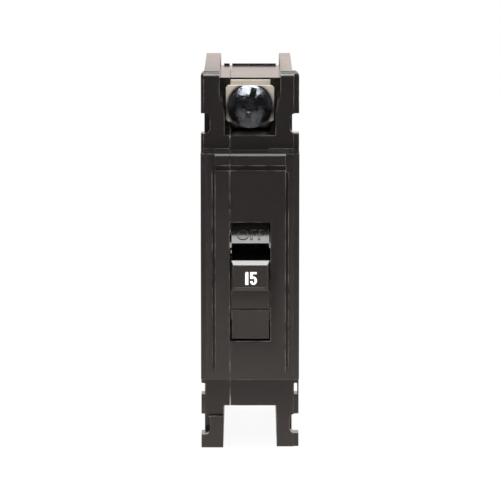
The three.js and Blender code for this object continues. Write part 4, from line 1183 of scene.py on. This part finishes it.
class BREAKER_OT_conductors(bpy.types.Operator):
    """Coiled main spring and flexible braid of twisted strands"""

    bl_idname = "breaker.conductors"
    bl_label = "Spring and braid"

    # Ends of the spring, at the cradle's hook and at the arm's tab
    spring_top = Vector((0.1, 10.65, 59.65)) * MM
    spring_bottom = Vector((0.1, 9.534, 38.39)) * MM
    spring_radius = 1.9 * MM
    spring_turns = 10
    spring_leg = 1.6 * MM
    spring_steps = 24
    spring_wire = 0.35 * MM
    # Directions in which the hook and the tab pull the spring's ends
    hook_pull = Vector((0, 0.606, 0.795))
    tab_pull = Vector((0, 0.93, 0.366))
    # Middle line of the braid in millimetres, from the bimetal down to the arm
    braid_places = (
        (-1.65, 21.55, 54.7),
        (-2.65, 21.05, 51.7),
        (-5.85, 18.55, 47.75),
        (-6.85, 13.13, 40.81),
        (-5.7, 5.7, 34.36),
        (-2.7, 4.7, 33.86),
    )
    braid_pull = Vector((0, 0.996, -0.09))
    braid_steps = 14
    braid_radius = 0.62 * MM
    braid_turns = 5
    strand_count = 7
    strand_wire = 0.32 * MM

    def execute(self, context):
        line = coil_line(
            self.spring_top,
            self.spring_bottom,
            self.spring_radius,
            self.spring_turns,
            self.spring_leg,
            self.spring_steps,
        )
        half = len(line) // 2
        # Each half's points, its joint, its pull and the share of its length kept at the limit
        runs = (
            ("upper", line[: half + 1], "cradle_trip", self.hook_pull, 0.405),
            ("lower", line[half:], "contact_arm_swing", self.tab_pull, 0.32),
        )
        for end, run, joint, pull, keep in runs:
            spring = round_wire(f"main_spring_{end}", [run], self.spring_wire)
            dress(spring, "housing", "spring_steel", "main_spring")
            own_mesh(spring)
        places = [Vector(place) * MM for place in self.braid_places]
        middle = smooth_line(places, self.braid_steps)
        wound = strands(middle, self.strand_count, self.braid_radius, self.braid_turns)
        braid = round_wire("flexible_braid_piece", [*wound, middle], self.strand_wire)
        dress(braid, "housing", "copper", "flexible_braid")
        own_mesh(braid)
        return {"FINISHED"}


def studio_paper(name, glow, reach):
    """White paper sweep: white to the camera, and all but the glow left to the lamps.

    In gloss the paper is a warm white, and where a reach is given it fades out by there.
    """
    near_end = 0.03
    fade_power = 2.9
    fade_share = 0.62
    fade_rest = 0.14
    material, tree, output = new_material(name)
    paper = add_node(
        tree, "ShaderNodeBsdfDiffuse", values={"Color": opaque(linear("#fbfbfb"))}
    )
    path = add_node(tree, "ShaderNodeLightPath")
    camera = path.outputs["Is Camera Ray"]
    tint = add_node(
        tree,
        "ShaderNodeMix",
        settings={"data_type": "RGBA"},
        values={MIX_FIRST: opaque(linear("#fff1ea")), MIX_SECOND: opaque(linear("#ffffff"))},
        links={0: camera},
    )
    light = add_node(
        tree,
        "ShaderNodeEmission",
        values={"Strength": 1},
        links={"Color": tint.outputs[MIX_RESULT]},
    )
    if reach:
        place = add_node(tree, "ShaderNodeTexCoord")
        away = add_node(
            tree,
            "ShaderNodeVectorMath",
            settings={"operation": "LENGTH"},
            links={0: place.outputs["Object"]},
        )
        near = add_node(
            tree,
            "ShaderNodeMapRange",
            values={"From Min": near_end, "From Max": reach, "To Min": 1, "To Max": 0},
            links={"Value": away.outputs["Value"]},
        )
        fall = add_node(
            tree,
            "ShaderNodeMath",
            settings={"operation": "POWER"},
            values={1: fade_power},
            links={0: near.outputs["Result"]},
        )
        left = add_node(
            tree,
            "ShaderNodeMath",
            settings={"operation": "MULTIPLY_ADD"},
            values={1: fade_share, 2: fade_rest},
            links={0: fall.outputs[0]},
        )
        shown = add_node(
            tree,
            "ShaderNodeMath",
            settings={"operation": "MAXIMUM"},
            links={0: camera, 1: left.outputs[0]},
        )
        tree.links.new(shown.outputs[0], light.inputs["Strength"])
    gloss = add_node(
        tree,
        "ShaderNodeMath",
        settings={"operation": "MAXIMUM"},
        links={0: path.outputs["Is Glossy Ray"], 1: path.outputs["Is Transmission Ray"]},
    )
    seen = add_node(
        tree,
        "ShaderNodeMath",
        settings={"operation": "MULTIPLY_ADD", "use_clamp": True},
        values={1: glow},
        links={0: camera, 2: gloss.outputs[0]},
    )
    both = add_node(
        tree,
        "ShaderNodeMixShader",
        links={0: seen.outputs[0], 1: paper.outputs["BSDF"], 2: light.outputs["Emission"]},
    )
    tree.links.new(both.outputs["Shader"], output.inputs["Surface"])
    return material


def paper_sheet(name, place, size, turn, glow, reach):
    """A flat sheet of studio paper, turned about X."""
    bpy.ops.object.select_all(action="DESELECT")
    bpy.ops.mesh.primitive_plane_add(size=1, location=place)
    sheet = bpy.context.object
    sheet.name = name
    sheet.scale = (*size, 1)
    sheet.rotation_euler = (turn, 0, 0)
    settle(sheet)
    sheet.data.materials.append(studio_paper(f"{name} paper", glow, reach))
    return sheet


def studio_air(name, ambient, gloss):
    """World that lights softly, looks white past the backdrop and is dark in reflections."""
    world = bpy.data.worlds.new(name)
    world.use_nodes = True
    tree = world.node_tree
    tree.nodes.clear()
    output = add_node(tree, "ShaderNodeOutputWorld")
    path = add_node(tree, "ShaderNodeLightPath")
    air = add_node(
        tree,
        "ShaderNodeMix",
        settings={"data_type": "RGBA"},
        values={MIX_FIRST: opaque([ambient] * 3), MIX_SECOND: opaque([gloss] * 3)},
        links={0: path.outputs["Is Glossy Ray"]},
    )
    seen = add_node(
        tree,
        "ShaderNodeMix",
        settings={"data_type": "RGBA"},
        values={MIX_SECOND: opaque(linear("#ffffff"))},
        links={0: path.outputs["Is Camera Ray"], MIX_FIRST: air.outputs[MIX_RESULT]},
    )
    sky = add_node(tree, "ShaderNodeBackground", links={"Color": seen.outputs[MIX_RESULT]})
    tree.links.new(sky.outputs["Background"], output.inputs["Surface"])
    return world


def softbox(name, place, target, width, height, power):
    """Adds a rectangular lamp aimed at a point."""
    data = bpy.data.lights.new(name, "AREA")
    data.shape = "RECTANGLE"
    data.size = width
    data.size_y = height
    data.energy = power
    lamp = bpy.data.objects.new(name, data)
    bpy.context.scene.collection.objects.link(lamp)
    lamp.location = place
    lamp.rotation_euler = (target - Vector(place)).to_track_quat("-Z", "Y").to_euler()


class BREAKER_OT_stage(bpy.types.Operator):
    """White floor and backdrop, soft lamps and the camera at the photo's angle"""

    bl_idname = "breaker.stage"
    bl_label = "Stage"

    # Name, centre, size, turn about X, glow to the camera and reach of the white in gloss
    papers = (
        ("floor", (0, 0.35, 0), (3, 2.1), 0, 0.94, 0.6),
        ("backdrop", (0, 1.4, 0.35), (3, 0.9), math.pi / 2, 1, None),
    )
    # Name, place, width, height and watts
    lamps = (
        ("front softbox", (0, -0.9, 0.876), 1.3, 0.22, 6.7),
        ("upper strip", (0, -0.575, 1.119), 0.9, 0.2, 7),
        ("overhead softbox", (0, 0.167, 1.238), 1.2, 1.28, 14),
        ("left fill", (-1.2, -0.5, 0.5), 0.6, 0.8, 4),
        ("right fill", (1.2, -0.5, 0.5), 0.6, 0.8, 4),
    )
    lamp_target = Vector((0, 0, 0.05))
    air_light = 0.4
    air_gloss = 0.04
    camera_place = Vector((0, -0.8686, 0.1811))
    camera_target = Vector((0, -0.01925, 0.05206))
    focal_length = 238.2
    sensor_width = 36
    clip_start = 0.01

    def execute(self, context):
        scene = context.scene
        floor, backdrop = (paper_sheet(*paper) for paper in self.papers)
        for name, place, width, height, power in self.lamps:
            softbox(name, place, self.lamp_target, width, height, power)
        scene.world = studio_air("studio air", self.air_light, self.air_gloss)

        data = bpy.data.cameras.new("camera")
        data.lens = self.focal_length
        data.sensor_width = self.sensor_width
        data.clip_start = self.clip_start
        camera = bpy.data.objects.new("camera", data)
        scene.collection.objects.link(camera)
        camera.location = self.camera_place
        aim = self.camera_target - self.camera_place
        camera.rotation_euler = aim.to_track_quat("-Z", "Y").to_euler()
        scene.camera = camera
        scene.view_settings.view_transform = "Standard"
        return {"FINISHED"}


OPERATORS = (
    BREAKER_OT_case,
    BREAKER_OT_rivets,
    BREAKER_OT_handle,
    BREAKER_OT_legends,
    BREAKER_OT_terminal,
    BREAKER_OT_line_side,
    BREAKER_OT_mechanism,
    BREAKER_OT_arc_chute,
    BREAKER_OT_conductors,
    BREAKER_OT_stage,
)


class BREAKER_PT_panel(bpy.types.Panel):
    """Lists the breaker's operators and settings"""

    bl_idname = "BREAKER_PT_panel"
    bl_label = "Breaker"
    bl_space_type = "VIEW_3D"
    bl_region_type = "UI"
    bl_category = "Breaker"

    def draw(self, context):
        for operator in OPERATORS:
            self.layout.operator(operator.bl_idname)
        for group in (context.scene.breaker_sizes, context.scene.breaker_colours):
            box = self.layout.box()
            for name in group.__annotations__:
                box.prop(group, name)


CLASSES = (BreakerSizes, BreakerColours, *OPERATORS, BREAKER_PT_panel)


def register():
    for kind in CLASSES:
        bpy.utils.register_class(kind)
    bpy.types.Scene.breaker_sizes = PointerProperty(type=BreakerSizes)
    bpy.types.Scene.breaker_colours = PointerProperty(type=BreakerColours)


def unregister():
    del bpy.types.Scene.breaker_colours
    del bpy.types.Scene.breaker_sizes
    for kind in reversed(CLASSES):
        bpy.utils.unregister_class(kind)


def main():
    register()
    for operator in OPERATORS:
        group, name = operator.bl_idname.split(".")
        getattr(getattr(bpy.ops, group), name)()
    bpy.context.view_layer.update()


if __name__ == "__main__":
    main()
